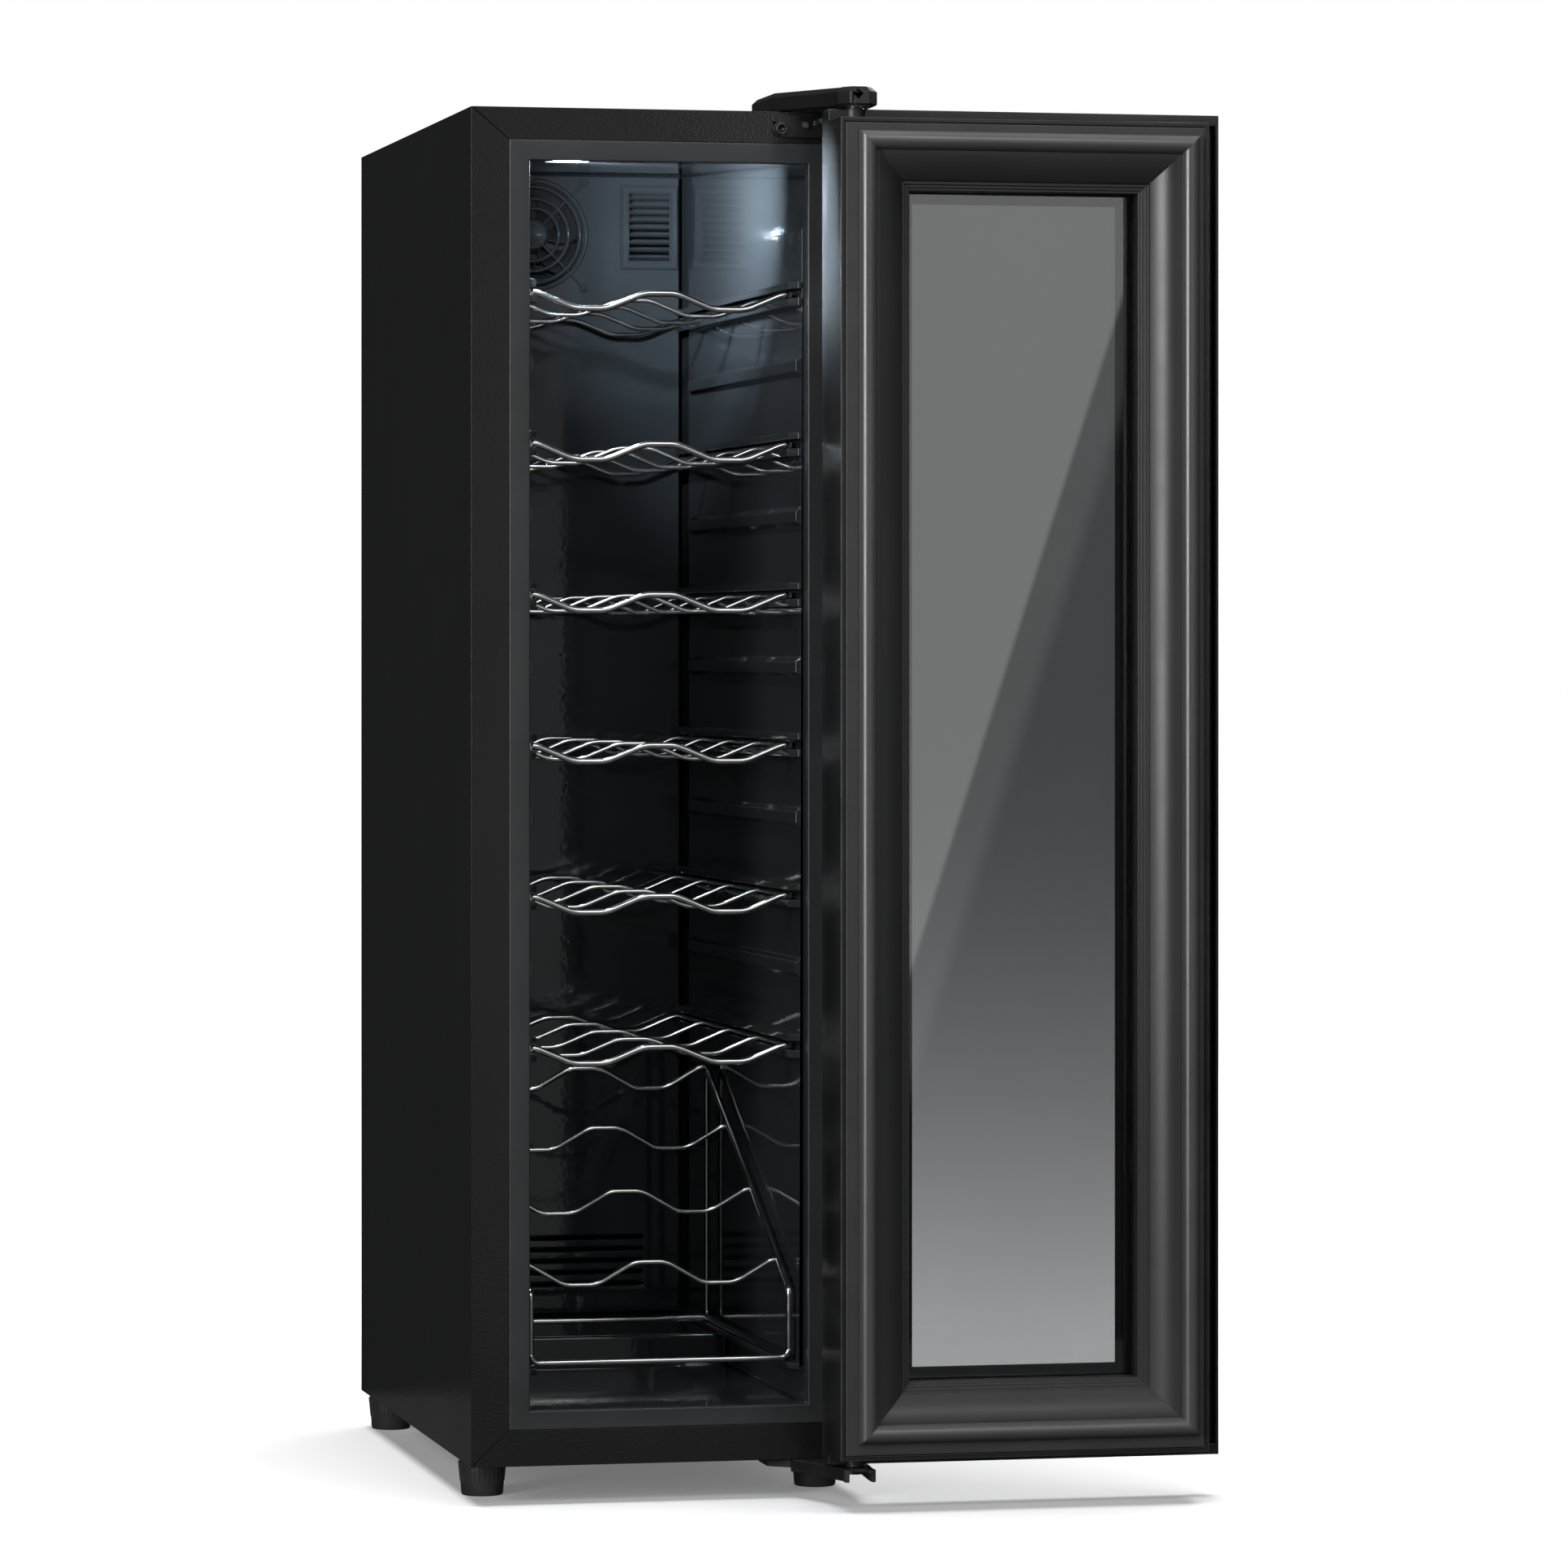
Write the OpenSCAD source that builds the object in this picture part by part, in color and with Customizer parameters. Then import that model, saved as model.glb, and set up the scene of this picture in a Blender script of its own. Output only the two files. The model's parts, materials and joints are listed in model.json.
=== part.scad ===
// Slim two-column wine cooler: insulated cabinet, glazed door on a right-hand
// pin hinge, wire shelves on side runners, display rack and rear cooling unit.
// Origin: floor level, centre of the cabinet's front face. +Y runs to the back,
// +X to the hinge side, +Z up. The door is drawn folded back by 180 degrees.

/* [Cabinet] */
// Width of the cabinet across its side panels
body_w = 255; // [250:0.5:260]
// Depth of the cabinet from the front frame to the back panel
body_d = 450; // [446:0.5:456]
// Height of the cabinet without its feet
body_h = 857; // [855:0.5:862]
// Height of the adjustable feet
foot_h = 25; // [24:0.5:27]
// Sheet thickness of the outer panels
sheet_t = 0.8; // [0.7:0.1:1.2]
// Half width of the opening in the front frame
open_hw = 89.8; // [89:0.1:90.5]
// Width of the mitred front band on the sides
band_w = 24.2; // [23:0.1:25]

/* [Door] */
// Overall thickness of the door
door_t = 52.5; // [52:0.1:53]
// Gap between the closed door's inner flange and the cabinet front
door_gap = 7; // [6.9:0.1:7.4]
// Distance of the hinge pin from the door's hinge edge
pin_inset = 17.75; // [17:0.25:18]
// Distance of the hinge pin from the cabinet front
pin_fwd = 45; // [45:0.1:45.5]
// Radius of the hinge pins
pin_r = 4; // [3.8:0.1:4.1]
// Radial running clearance of the hinge pins and rotor shafts
run_c = 0.05; // [0.03:0.01:0.08]
// Thickness of each glass pane
glass_t = 4; // [3.8:0.1:4]

/* [Shelves] */
// Height of the lowest wave valley of the top shelf
shelf_top_z = 757; // [756:0.5:758]
// Vertical distance from shelf to shelf
shelf_pitch = 96.1; // [95.5:0.1:96.3]
// Rise of a wave crest over its valley
wave_h = 10; // [9:0.5:10]
// Radius of the front shelf wire
front_wire_r = 2.2; // [2:0.1:2.3]
// Radius of the other shelf wires
wire_r = 1.6; // [1.4:0.1:1.8]

/* [Display rack] */
// Tilt of the display rack in degrees
rack_tilt = 26; // [24:0.5:27]
// Radius of the rack wire
rack_r = 2; // [1.8:0.1:2]

/* [Cooling unit] */
// Centre height of the rear fan
fan_z = 620; // [600:1:640]
// Number of blades on each fan rotor
blades = 7; // [5:1:9]
// Number of fins on the hot side heat sink
fins = 15; // [10:1:18]

/* [Hidden] */

e = 0.01;
hw = body_w / 2;
z0 = foot_h;
z1 = foot_h + body_h;
hx = hw - pin_inset;
hy = -pin_fwd;
band_in = hw - band_w;
band_z0 = z0 + 22.8;
band_z1 = z1 - 20.3;
open_z0 = z0 + 34.8;
open_z1 = z1 - 33.4;
back_y = 388;
ceil_z = z1 - 14;
step_y = 250;
step_z = z0 + 55;
runner_y0 = 14;
runner_y1 = 384;
wave_y = [30, 116.5, 203, 289.5, 376];
foot_x = 109;
foot_y = [66, 434];
dz0 = z0 + 2.1;
dz1 = z1 - 1.8;
bz0 = z0 + 8;
bz1 = z1 - 9.2;
lip = 16;
slab_t = 18.5;
y_in = -door_gap;
y_out = -door_gap - door_t;
y_slab = y_out + slab_t;
win_u0 = 11;
win_u1 = 233;
win_z0 = z0 + 17.9;
win_z1 = z1 - 17.1;
ring_w = 36.7;
fan_c = [-18, 826];
paint = [0.12, 0.12, 0.13];
plastic = [0.16, 0.17, 0.18];
gloss = [0.1, 0.11, 0.12];
chrome = [0.75, 0.76, 0.78];
alu = [0.7, 0.71, 0.73];
steel = [0.55, 0.56, 0.58];

// A flat plate standing in the X-Z plane, from y to y + t, drawn as [x, z] points.
module xz(y, t) { translate([0, y + t, 0]) rotate([90, 0, 0]) linear_extrude(t) children(); }
// A profile drawn as [y, z] points and run along X from x to x + l.
module yz(x, l) { translate([x, 0, 0]) rotate([90, 0, 90]) linear_extrude(l) children(); }
// A box between two opposite corners.
module box(a, b) { translate(a) cube([b[0] - a[0], b[1] - a[1], b[2] - a[2]]); }
// A straight round wire between two points.
module wire(a, b, r) {
  d = b - a;
  l = norm(d);
  translate(a) rotate([0, acos(d[2] / l), atan2(d[1], d[0])]) cylinder(r = r, h = l, $fn = 24);
}
// A bent round wire through a list of points, with a ball in each bend.
module bent(p, r, ends = true) {
  for (i = [0 : len(p) - 2]) wire(p[i], p[i + 1], r);
  for (i = [(ends ? 0 : 1) : len(p) - (ends ? 1 : 2)]) translate(p[i]) sphere(r = r * 1.06, $fn = 24);
}
// A rod along Y.
module yrod(x, z, y, l, r) { translate([x, y, z]) rotate([-90, 0, 0]) cylinder(r = r, h = l, $fn = 48); }
// A ring around the Y axis.
module yring(x, z, y, rr, r) { translate([x, y, z]) rotate([90, 0, 0]) rotate_extrude($fn = 64) translate([rr, 0]) circle(r, $fn = 20); }

// --- Cabinet ---
module band_side() {
  difference() {
    polygon([[-hw, z0], [-hw, z1], [-band_in, band_z1], [-band_in, band_z0]]);
    translate([-hw, z0 - 0.15]) rotate(atan2(band_z0 - z0, band_w)) translate([-5, -1]) square([60, 1.15]);
    translate([-hw, z1 + 0.15]) rotate(-atan2(z1 - band_z1, band_w)) translate([-5, -0.15]) square([60, 1.15]);
  }
}
module side_panel() {
  color(paint) union() {
    xz(0.4, sheet_t) band_side();
    box([-hw, 0.4, z0], [-hw + sheet_t, body_d - sheet_t, z1]);
    box([-hw, body_d - 2 * sheet_t, z0 + sheet_t + 0.05], [-hw + 9, body_d - sheet_t - 0.05, z1 - sheet_t - 0.05]);
  }
}
module side_panel_left() { side_panel(); }
module side_panel_right() { mirror([1, 0, 0]) side_panel(); }
module top_panel() {
  w = hw - sheet_t - 0.1;
  color(paint) union() {
    xz(0.4, sheet_t) polygon([[-w, z1], [-band_in + 0.2, band_z1], [band_in - 0.2, band_z1], [w, z1]]);
    box([-w, 0.4, z1 - sheet_t], [w, body_d - sheet_t, z1]);
  }
}
module base_pan() {
  w = hw - sheet_t - 0.1;
  color(paint) difference() {
    union() {
      xz(0.4, sheet_t) polygon([[-w, z0], [-band_in + 0.2, band_z0], [band_in - 0.2, band_z0], [w, z0]]);
      box([-w, 0.4, z0], [w, body_d - sheet_t, z0 + sheet_t]);
      for (x = [-foot_x, foot_x], y = foot_y) translate([x, y, z0]) cylinder(r = 8, h = 14, $fn = 48);
    }
    for (x = [-foot_x, foot_x], y = foot_y) translate([x, y, z0 - 1]) cylinder(r = pin_r + run_c, h = 16, $fn = 48);
    for (x = [-60 : 10 : 60]) box([x - 2.5, 300, z0 - 1], [x + 2.5, 380, z0 + 3]);
  }
}
module back_panel() {
  w = hw - sheet_t - 0.1;
  color(paint) difference() {
    box([-w, body_d - sheet_t, z0 + sheet_t + 0.1], [w, body_d, z1 - sheet_t - 0.1]);
    yrod(0, fan_z, body_d - 5, 10, 43);
    for (i = [0 : 8], s = [-1, 1]) box([-45, body_d - 5, fan_z + s * 78 + i * 6 - 24 - 1.5], [45, body_d + 5, fan_z + s * 78 + i * 6 - 24 + 1.5]);
    for (i = [0 : 6]) box([-60, body_d - 5, z0 + 14 + i * 6 - 1.5], [20, body_d + 5, z0 + 14 + i * 6 + 1.5]);
    box([70, body_d - 5, z0 + 22], [98, body_d + 5, z0 + 44]);
    for (x = [-41.25, 41.25], z = [-41.25, 41.25]) yrod(x, fan_z + z, body_d - 5, 10, 2.2);
  }
}
module liner_out() { polygon([[6, open_z0 - 2.2], [step_y + 2.2, open_z0 - 2.2], [step_y + 2.2, step_z - 2.2], [407.2, step_z - 2.2], [407.2, ceil_z + 2.9], [6, open_z1 + 2.5]]); }
module liner_in() { polygon([[5, open_z0], [step_y, open_z0], [step_y, step_z], [405, step_z], [405, ceil_z + 0.8], [5, open_z1 + 0.25]]); }
module liner() {
  color(gloss) difference() {
    yz(-open_hw - 2.2, 2 * open_hw + 4.4) liner_out();
    yz(-open_hw, 2 * open_hw) liner_in();
    box([-23, 400, fan_z - 23], [23, 410, fan_z + 23]);
    box([-70.7, 5, open_z1 - 5], [-46.3, 62.2, open_z1 + 12]);
  }
}
module foam_core() {
  w = hw - sheet_t - 0.2;
  color([0.9, 0.85, 0.6]) difference() {
    box([-w, 1.8, z0 + sheet_t + 0.2], [w, body_d - 2 * sheet_t - 0.2, z1 - sheet_t - 0.2]);
    yz(-open_hw - 2.4, 2 * open_hw + 4.8) polygon([[0, open_z0 - 2.4], [step_y + 2.4, open_z0 - 2.4], [step_y + 2.4, step_z - 2.4], [407.4, step_z - 2.4], [407.4, ceil_z + 3.1], [0, open_z1 + 2.7]]);
    box([-band_in - 0.2, 0, band_z0 - 0.2], [band_in + 0.2, 7.4, band_z1 + 0.2]);
    box([-66, 416.2, fan_z - 75], [66, body_d, fan_z + 75]);
    box([-23, 400, fan_z - 23], [23, 430, fan_z + 23]);
    box([-112, step_y + 10, 0], [112, body_d, z0 + 50]);
    for (x = [-foot_x, foot_x], y = foot_y) translate([x, y, z0]) cylinder(r = 9, h = 16, $fn = 48);
    box([-73, 4, open_z1], [-44, 66, open_z1 + 9]);
    box([62, 1, z1 - 24], [hw, 14, z1]);
  }
}
module breaker_frame() {
  color(plastic) difference() {
    union() {
      xz(0, 6) difference() {
        translate([-band_in + 0.1, band_z0 + 0.1]) square([2 * band_in - 0.2, band_z1 - band_z0 - 0.2]);
        translate([-open_hw, open_z0]) square([2 * open_hw, open_z1 - open_z0]);
      }
      xz(1.8, 5.4) difference() {
        translate([-band_in, band_z0]) square([2 * band_in, band_z1 - band_z0]);
        translate([-open_hw - 2.3, open_z0 - 2.3]) square([2 * open_hw + 4.6, open_z1 - open_z0 + 5]);
      }
    }
    box([-72, 3.8, open_z1 - 3], [-45, 10, open_z1 + 8]);
  }
}
module runner() {
  x = open_hw;
  color(gloss) difference() {
    union() {
      box([x - 1, runner_y0, step_z + 3.6], [x - 0.02, runner_y1, open_z1 - 40]);
      for (k = [0 : 5]) {
        z = shelf_top_z - k * shelf_pitch + wave_h;
        for (d = [[-7.6, 2.4, 5], [3.3, 7.8, 4.5]]) yzr(x, z + d[0], z + d[1]);
        if (k < 5) translate([x - 0.5, runner_y0, z - wave_h - 42.5]) mirror([1, 0, 0]) rotate([90, 0, 0]) mirror([0, 0, 1])
          linear_extrude(runner_y1 - runner_y0 - 30) polygon([[0, 0], [4.5, 3], [4.5, 10], [0, 13]]);
      }
      yzr(x, z0 + 55.2, z0 + 59.2);
    }
  }
}
// One ledge of a runner, wedge-shaped towards the front, from height a to b.
module yzr(x, a, b) {
  translate([x - 8.3, 0, a]) linear_extrude(b - a < 0 ? 5 : min(b - a, 5.2))
    polygon([[8, runner_y0], [5, runner_y0], [0, runner_y0 + 9], [0, runner_y1 - 4], [4, runner_y1], [8, runner_y1]]);
}
module runner_right() { runner(); }
module runner_left() { mirror([1, 0, 0]) runner(); }
module duct_panel() {
  color(gloss) difference() {
    union() {
      difference() {
        box([-85.5, back_y, step_z + 1.5], [85.5, 404.6, ceil_z - 1.5]);
        box([-83.5, back_y + 2.5, step_z + 3.5], [83.5, 406, ceil_z - 3.5]);
      }
      for (a = [45 : 90 : 315]) yrod(fan_c[0] + 51 * cos(a), fan_c[1] + 51 * sin(a), back_y - 0.6, 3.1, 3.4);
    }
    yrod(fan_c[0], fan_c[1], back_y - 3, 8, 35.6);
    for (a = [45 : 90 : 315]) yrod(fan_c[0] + 51 * cos(a), fan_c[1] + 51 * sin(a), back_y - 3, 8, 1.4);
    box([49.5, back_y - 3, 808.5], [78.5, back_y + 5, 855.5]);
    for (i = [0 : 4]) box([-60, back_y - 3, step_z + 20 + i * 8], [60, back_y + 5, step_z + 23 + i * 8]);
  }
}
module fan_guard() {
  color(gloss) union() {
    for (r = [[37.4, 1.7], [33.2, 1.5], [25, 1.4], [18.3, 1.3]]) yring(fan_c[0], fan_c[1], back_y - 2.1, r[0], r[1]);
    yrod(fan_c[0], fan_c[1], back_y - 3.6, 3, 10.3);
    for (a = [45 : 90 : 315]) {
      wire([fan_c[0] + 6 * cos(a), back_y - 2.1, fan_c[1] + 6 * sin(a)], [fan_c[0] + 50 * cos(a), back_y - 2.1, fan_c[1] + 50 * sin(a)], 1);
      yrod(fan_c[0] + 51 * cos(a), fan_c[1] + 51 * sin(a), back_y - 4.2, 3.4, 3);
    }
  }
}
module louvre() {
  color(gloss) union() {
    difference() {
      box([44, back_y - 3.2, 803], [84, back_y - 0.05, 861]);
      box([50, back_y - 5, 809], [78, back_y + 5, 855]);
      for (x = [47.2, 80.8]) box([x - 1, back_y - 4, 808], [x + 1, back_y - 2.2, 856]);
    }
    for (i = [0 : 8]) translate([49.6, back_y - 1.6, 811.2 + i * 5.1]) rotate([-28, 0, 0]) translate([0, -1.9, -0.6]) cube([28.8, 3.8, 1.2]);
  }
}
module lamp_housing() {
  color(plastic) difference() {
    box([-70.5, 7.4, open_z1 + 3], [-46.5, 62, open_z1 + 8]);
    box([-69.5, 8.4, open_z1 + 1], [-47.5, 61, open_z1 + 6]);
  }
}
module lamp_diffuser() { color([0.95, 0.97, 1]) box([-69.4, 4, open_z1 - 1.4], [-47.6, 60.8, open_z1 + 5]); }

// --- Cooling unit ---
// Pitched fan blades around a hub on the Y axis.
module rotor(r, hub, d, bore) {
  difference() {
    union() {
      translate([0, 0, -d / 2]) cylinder(r = hub, h = d, $fn = 64);
      intersection() {
        translate([0, 0, -d / 2]) cylinder(r = r, h = d, $fn = 96);
        for (i = [0 : blades - 1]) rotate(i * 360 / blades) rotate([38, 0, 0]) translate([hub - 1.5, -d * 0.62, -0.6]) cube([r - hub + 4, d * 1.24, 1.2]);
      }
    }
    translate([0, 0, -d]) cylinder(r = bore, h = 2 * d, $fn = 48);
  }
}
module duct_fan_frame() {
  color(plastic) translate([fan_c[0], 0, fan_c[1]]) rotate([-90, 0, 0]) union() {
    difference() {
      translate([0, 0, back_y + 2.8]) cylinder(r = 37.5, h = 13, $fn = 96);
      translate([0, 0, back_y + 2]) cylinder(r = 35, h = 20, $fn = 96);
    }
    for (a = [90 : 120 : 330]) rotate(a) translate([8, -2, back_y + 13.6]) cube([28, 4, 2.2]);
    translate([0, 0, back_y + 13.6]) cylinder(r = 12, h = 2.2, $fn = 64);
    translate([0, 0, back_y + 4]) cylinder(r = 1.5, h = 11, $fn = 32);
  }
}
module duct_fan_rotor() { color([0.1, 0.1, 0.1]) translate([fan_c[0], back_y + 8.3, fan_c[1]]) rotate([-90, 0, 0]) rotor(34, 12, 9, 1.5 + run_c); }
module cold_sink() {
  color(alu) union() {
    box([-60, 401.5, fan_z - 60], [60, 404.8, fan_z + 60]);
    for (i = [0 : 19]) box([-59 + i * 6.2 - 0.6, 391.5, fan_z - 60], [-59 + i * 6.2 + 0.6, 402, fan_z + 60]);
    box([-20, 404, fan_z - 20], [20, 412, fan_z + 20]);
  }
}
module peltier_module() {
  color([0.92, 0.92, 0.9]) union() {
    box([-20, 412.05, fan_z - 20], [20, 412.9, fan_z + 20]);
    for (x = [-16 : 8 : 16], z = [-16 : 8 : 16]) box([x - 2, 412.8, fan_z + z - 2], [x + 2, 415.2, fan_z + z + 2]);
    box([-20, 415.1, fan_z - 20], [20, 415.95, fan_z + 20]);
  }
}
module hot_sink() {
  color(alu) union() {
    box([-55, 416.3, fan_z - 60], [55, 420, fan_z + 60]);
    for (i = [0 : fins - 1]) { x = -54 + i * 108 / (fins - 1); box([x - 0.7, 419, fan_z - 60], [x + 0.7, 433.5, fan_z + 60]); }
  }
}
module rear_fan_frame() {
  color([0.08, 0.08, 0.08]) translate([0, 0, fan_z]) rotate([-90, 0, 0]) union() {
    difference() {
      translate([-46, -46, 434]) cube([92, 92, 14]);
      translate([0, 0, 430]) cylinder(r = 43.4, h = 30, $fn = 96);
      for (x = [-41.25, 41.25], y = [-41.25, 41.25]) translate([x, y, 430]) cylinder(r = 2.15, h = 30, $fn = 32);
    }
    for (a = [30 : 120 : 270]) rotate(a) translate([12, -2.5, 434]) cube([32.5, 5, 2.4]);
    translate([0, 0, 434]) cylinder(r = 16, h = 2.4, $fn = 64);
    translate([0, 0, 434]) cylinder(r = 1.5, h = 12, $fn = 32);
  }
}
module rear_fan_rotor() { color([0.1, 0.1, 0.1]) translate([0, 442.2, fan_z]) rotate([-90, 0, 0]) rotor(42.4, 16, 10.4, 1.5 + run_c); }
module rear_fan_guard() {
  color(chrome) union() {
    for (r = [12, 20, 28, 36, 44]) yring(0, fan_z, body_d + 1.1, r, 1);
    for (a = [45 : 90 : 315]) {
      wire([10 * cos(a), body_d + 1.1, fan_z + 10 * sin(a)], [56 * cos(a), body_d + 1.1, fan_z + 56 * sin(a)], 0.9);
      difference() {
        yrod(41.25 * sqrt(2) * cos(a), fan_z + 41.25 * sqrt(2) * sin(a), body_d + 0.1, 2, 4);
        yrod(41.25 * sqrt(2) * cos(a), fan_z + 41.25 * sqrt(2) * sin(a), body_d - 1, 5, 2.2);
      }
    }
    for (a = [45 : 90 : 315]) yrod(41.25 * sqrt(2) * cos(a), fan_z + 41.25 * sqrt(2) * sin(a), body_d - 6, 8.6, 2.05);
  }
}
module power_board() {
  y = step_y + 14;
  color([0.1, 0.35, 0.2]) union() {
    box([-100, y, z0 + 8], [40, y + 150, z0 + 9.6]);
    for (p = [[-95, y + 5], [-95, y + 141], [33, y + 5], [33, y + 141]]) box([p[0], p[1], z0 + sheet_t + 0.02], [p[0] + 5, p[1] + 5, z0 + 8.2]);
    box([-88, y + 20, z0 + 9], [-50, y + 58, z0 + 38]);
    box([-40, y + 16, z0 + 9], [-12, y + 20, z0 + 40]);
    for (i = [0 : 3]) box([-40 + i * 8, y + 20, z0 + 9.5], [-38 + i * 8, y + 34, z0 + 39]);
    for (p = [[0, y + 30, 9], [22, y + 32, 7], [-70, y + 90, 6.5]]) translate([p[0], p[1], z0 + 9]) cylinder(r = p[2], h = 24, $fn = 40);
    for (i = [0 : 2]) box([-90 + i * 42, y + 128, z0 + 9], [-62 + i * 42, y + 146, z0 + 22]);
  }
}
module inlet_socket() {
  color([0.07, 0.07, 0.07]) difference() {
    union() {
      box([70.2, body_d - 24, z0 + 22.2], [97.8, body_d + 0.5, z0 + 43.8]);
      box([66, body_d + 0.05, z0 + 19], [102, body_d + 2.4, z0 + 47]);
    }
    box([72, body_d - 17, z0 + 24], [96, body_d + 5, z0 + 42]);
  }
}
module inlet_pins() {
  color([0.8, 0.65, 0.3]) union() {
    for (x = [77, 91]) box([x - 1, body_d - 29, z0 + 30], [x + 1, body_d - 4, z0 + 34]);
    box([83, body_d - 29, z0 + 35], [85, body_d - 4, z0 + 39]);
  }
}

// --- Hinges ---
module top_hinge_plate() {
  color(steel) difference() {
    union() {
      linear_extrude(3) translate([0, 0]) polygon([[70, 50], [70, 8], [96, -34], [101.5, -52], [118, -52], [120.5, -36], [120.5, 50]]);
      translate([hx, hy, -14]) cylinder(r = pin_r, h = 15, $fn = 48);
    }
    for (p = [[80, 38], [111, 38], [95, 18]]) translate([p[0], p[1], -5]) cylinder(r = 2.6, h = 12, $fn = 32);
  }
}
module cover_plan(d) {
  polygon([[66 + d, 60 - d], [66 + d, 7 - d * 0.3], [97 + d, -46], [97 + d, -53 + d], [103.5 + d * 0.5, -60.5 + d], [116 - d * 0.5, -60.5 + d], [122.5 - d, -53 + d], [124 - d, -8], [124 - d, 60 - d]]);
}
module hinge_cover() {
  color([0.14, 0.14, 0.14]) translate([0, 0, z1]) difference() {
    union() {
      translate([0, 0, 0.05]) linear_extrude(9.2) cover_plan(0);
      translate([0, 0, 9]) linear_extrude(1.2) cover_plan(1);
      translate([0, 0, 10]) linear_extrude(1.2) cover_plan(2.1);
      translate([0, 0, 11]) linear_extrude(1) cover_plan(3.2);
    }
    translate([0, 0, -1]) linear_extrude(9) cover_plan(1.8);
    translate([105.6, -62, 7.2]) rotate([0, 45, 0]) cube([4.4, 5, 4.4]);
    translate([105.2, -62, -1]) cube([1.2, 2.6, 11]);
  }
}
module front_hinge_bracket() {
  color([0.2, 0.2, 0.2]) difference() {
    union() {
      xz(-1.8, 2.1) union() {
        translate([72, z1 - 11.2]) circle(5.2, $fn = 48);
        translate([72, z1 - 16.4]) square([52, 10.4]);
      }
      box([93.5, -20, z1 - 8.6], [124, 0, z1 - 5.4]);
    }
    yrod(72, z1 - 11.2, -5, 10, 2.6);
    yrod(87.5, z1 - 8.6, -5, 10, 1.6);
    box([104, -22, z1 - 12], [116, -15, z1]);
  }
}
module bottom_hinge_bracket() {
  color([0.2, 0.2, 0.2]) union() {
    difference() {
      translate([0, 0, z0 - 2.65]) linear_extrude(2.6) polygon([[66, 47], [66, 14], [79, 3], [100, -52], [100, -62], [119.5, -62], [119.5, -52], [124, 3], [124, 47]]);
      for (p = [[76, 34], [114, 34], [96, 16]]) translate([p[0], p[1], z0 - 6]) cylinder(r = 2.6, h = 12, $fn = 32);
      box([104.5, -64, z0 - 6], [115, -55.5, z0 + 1]);
    }
    translate([0, 0, z0 - 8]) linear_extrude(6) polygon([[100, -62], [102.6, -62], [102.6, -51.6], [81.6, 3.6], [79, 3], [100, -52]]);
    translate([0, 0, z0 - 8]) linear_extrude(6) polygon([[119.5, -62], [116.9, -62], [116.9, -51.6], [121.3, 3], [124, 3], [119.5, -52]]);
    translate([0, 0, z0 - 5.6]) linear_extrude(3.6) polygon([[66, 14], [79, 3], [81.6, 3.6], [68.6, 15.6], [68.6, 40], [66, 40]]);
    translate([hx, hy, z0 - 4.4]) cylinder(r = pin_r + 1.6, h = 2.6, $fn = 48);
    translate([hx, hy, z0 - 3]) cylinder(r = pin_r, h = 20, $fn = 48);
  }
}
// A hex head screw, head down from z by k, shank up.
module hex_up(x, y, z, k, r, l) { translate([x, y, z - k]) { cylinder(r = r * 1.9, h = k, $fn = 6); cylinder(r = r, h = k + l, $fn = 32); } }
module hinge_screws() {
  color(chrome) union() {
    for (p = [[80, 38], [111, 38], [95, 18]]) {
      translate([p[0], p[1], z1 - 8]) cylinder(r = 2.5, h = 11.2, $fn = 32);
      translate([p[0], p[1], z1 + 3.02]) cylinder(r = 4.4, h = 2.6, $fn = 6);
    }
    for (p = [[76, 34], [114, 34], [96, 16]]) hex_up(p[0], p[1], z0 - 2.67, 2.4, 2.5, 12);
    yrod(87.5, z1 - 8.6, -3, 10, 1.5);
    translate([87.5, -1.85, z1 - 8.6]) rotate([90, 30, 0]) cylinder(r = 2.4, h = 2.5, $fn = 6);
    difference() {
      yrod(72, z1 - 11.2, -4.2, 2.3, 4);
      yrod(72, z1 - 11.2, -5, 1.6, 2.2);
    }
    yrod(72, z1 - 11.2, -3, 14, 2.5);
  }
}

// --- Feet ---
module foot(x, y) {
  color([0.1, 0.1, 0.1]) translate([x, y, 0]) union() {
    difference() {
      cylinder(r1 = 13.3, r2 = 15, h = foot_h - 3, $fn = 64);
      translate([0, 0, -1]) cylinder(r = 9, h = 2, $fn = 48);
    }
    for (i = [0 : 23]) rotate(i * 15) translate([14.2, -0.6, foot_h - 13]) cube([1.4, 1.2, 9.4]);
    translate([0, 0, foot_h - 3.2]) cylinder(r = 9, h = 2.7, $fn = 48);
    translate([0, 0, foot_h - 2]) cylinder(r = pin_r, h = 15, $fn = 48);
  }
}
module foot_front_left() { foot(-foot_x, foot_y[0]); }
module foot_front_right() { foot(foot_x, foot_y[0]); }
module foot_rear_left() { foot(-foot_x, foot_y[1]); }
module foot_rear_right() { foot(foot_x, foot_y[1]); }

// --- Door, drawn closed and swung about the hinge pin ---
// u is measured from the hinge edge towards the latch edge.
module swung() { translate([hx, hy, 0]) rotate(180) translate([-hx, -hy, 0]) children(); }
module panel(y, t, ua, ub, za, zb) { box([hw - ub, y, za], [hw - ua, y + t, zb]); }
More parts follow.
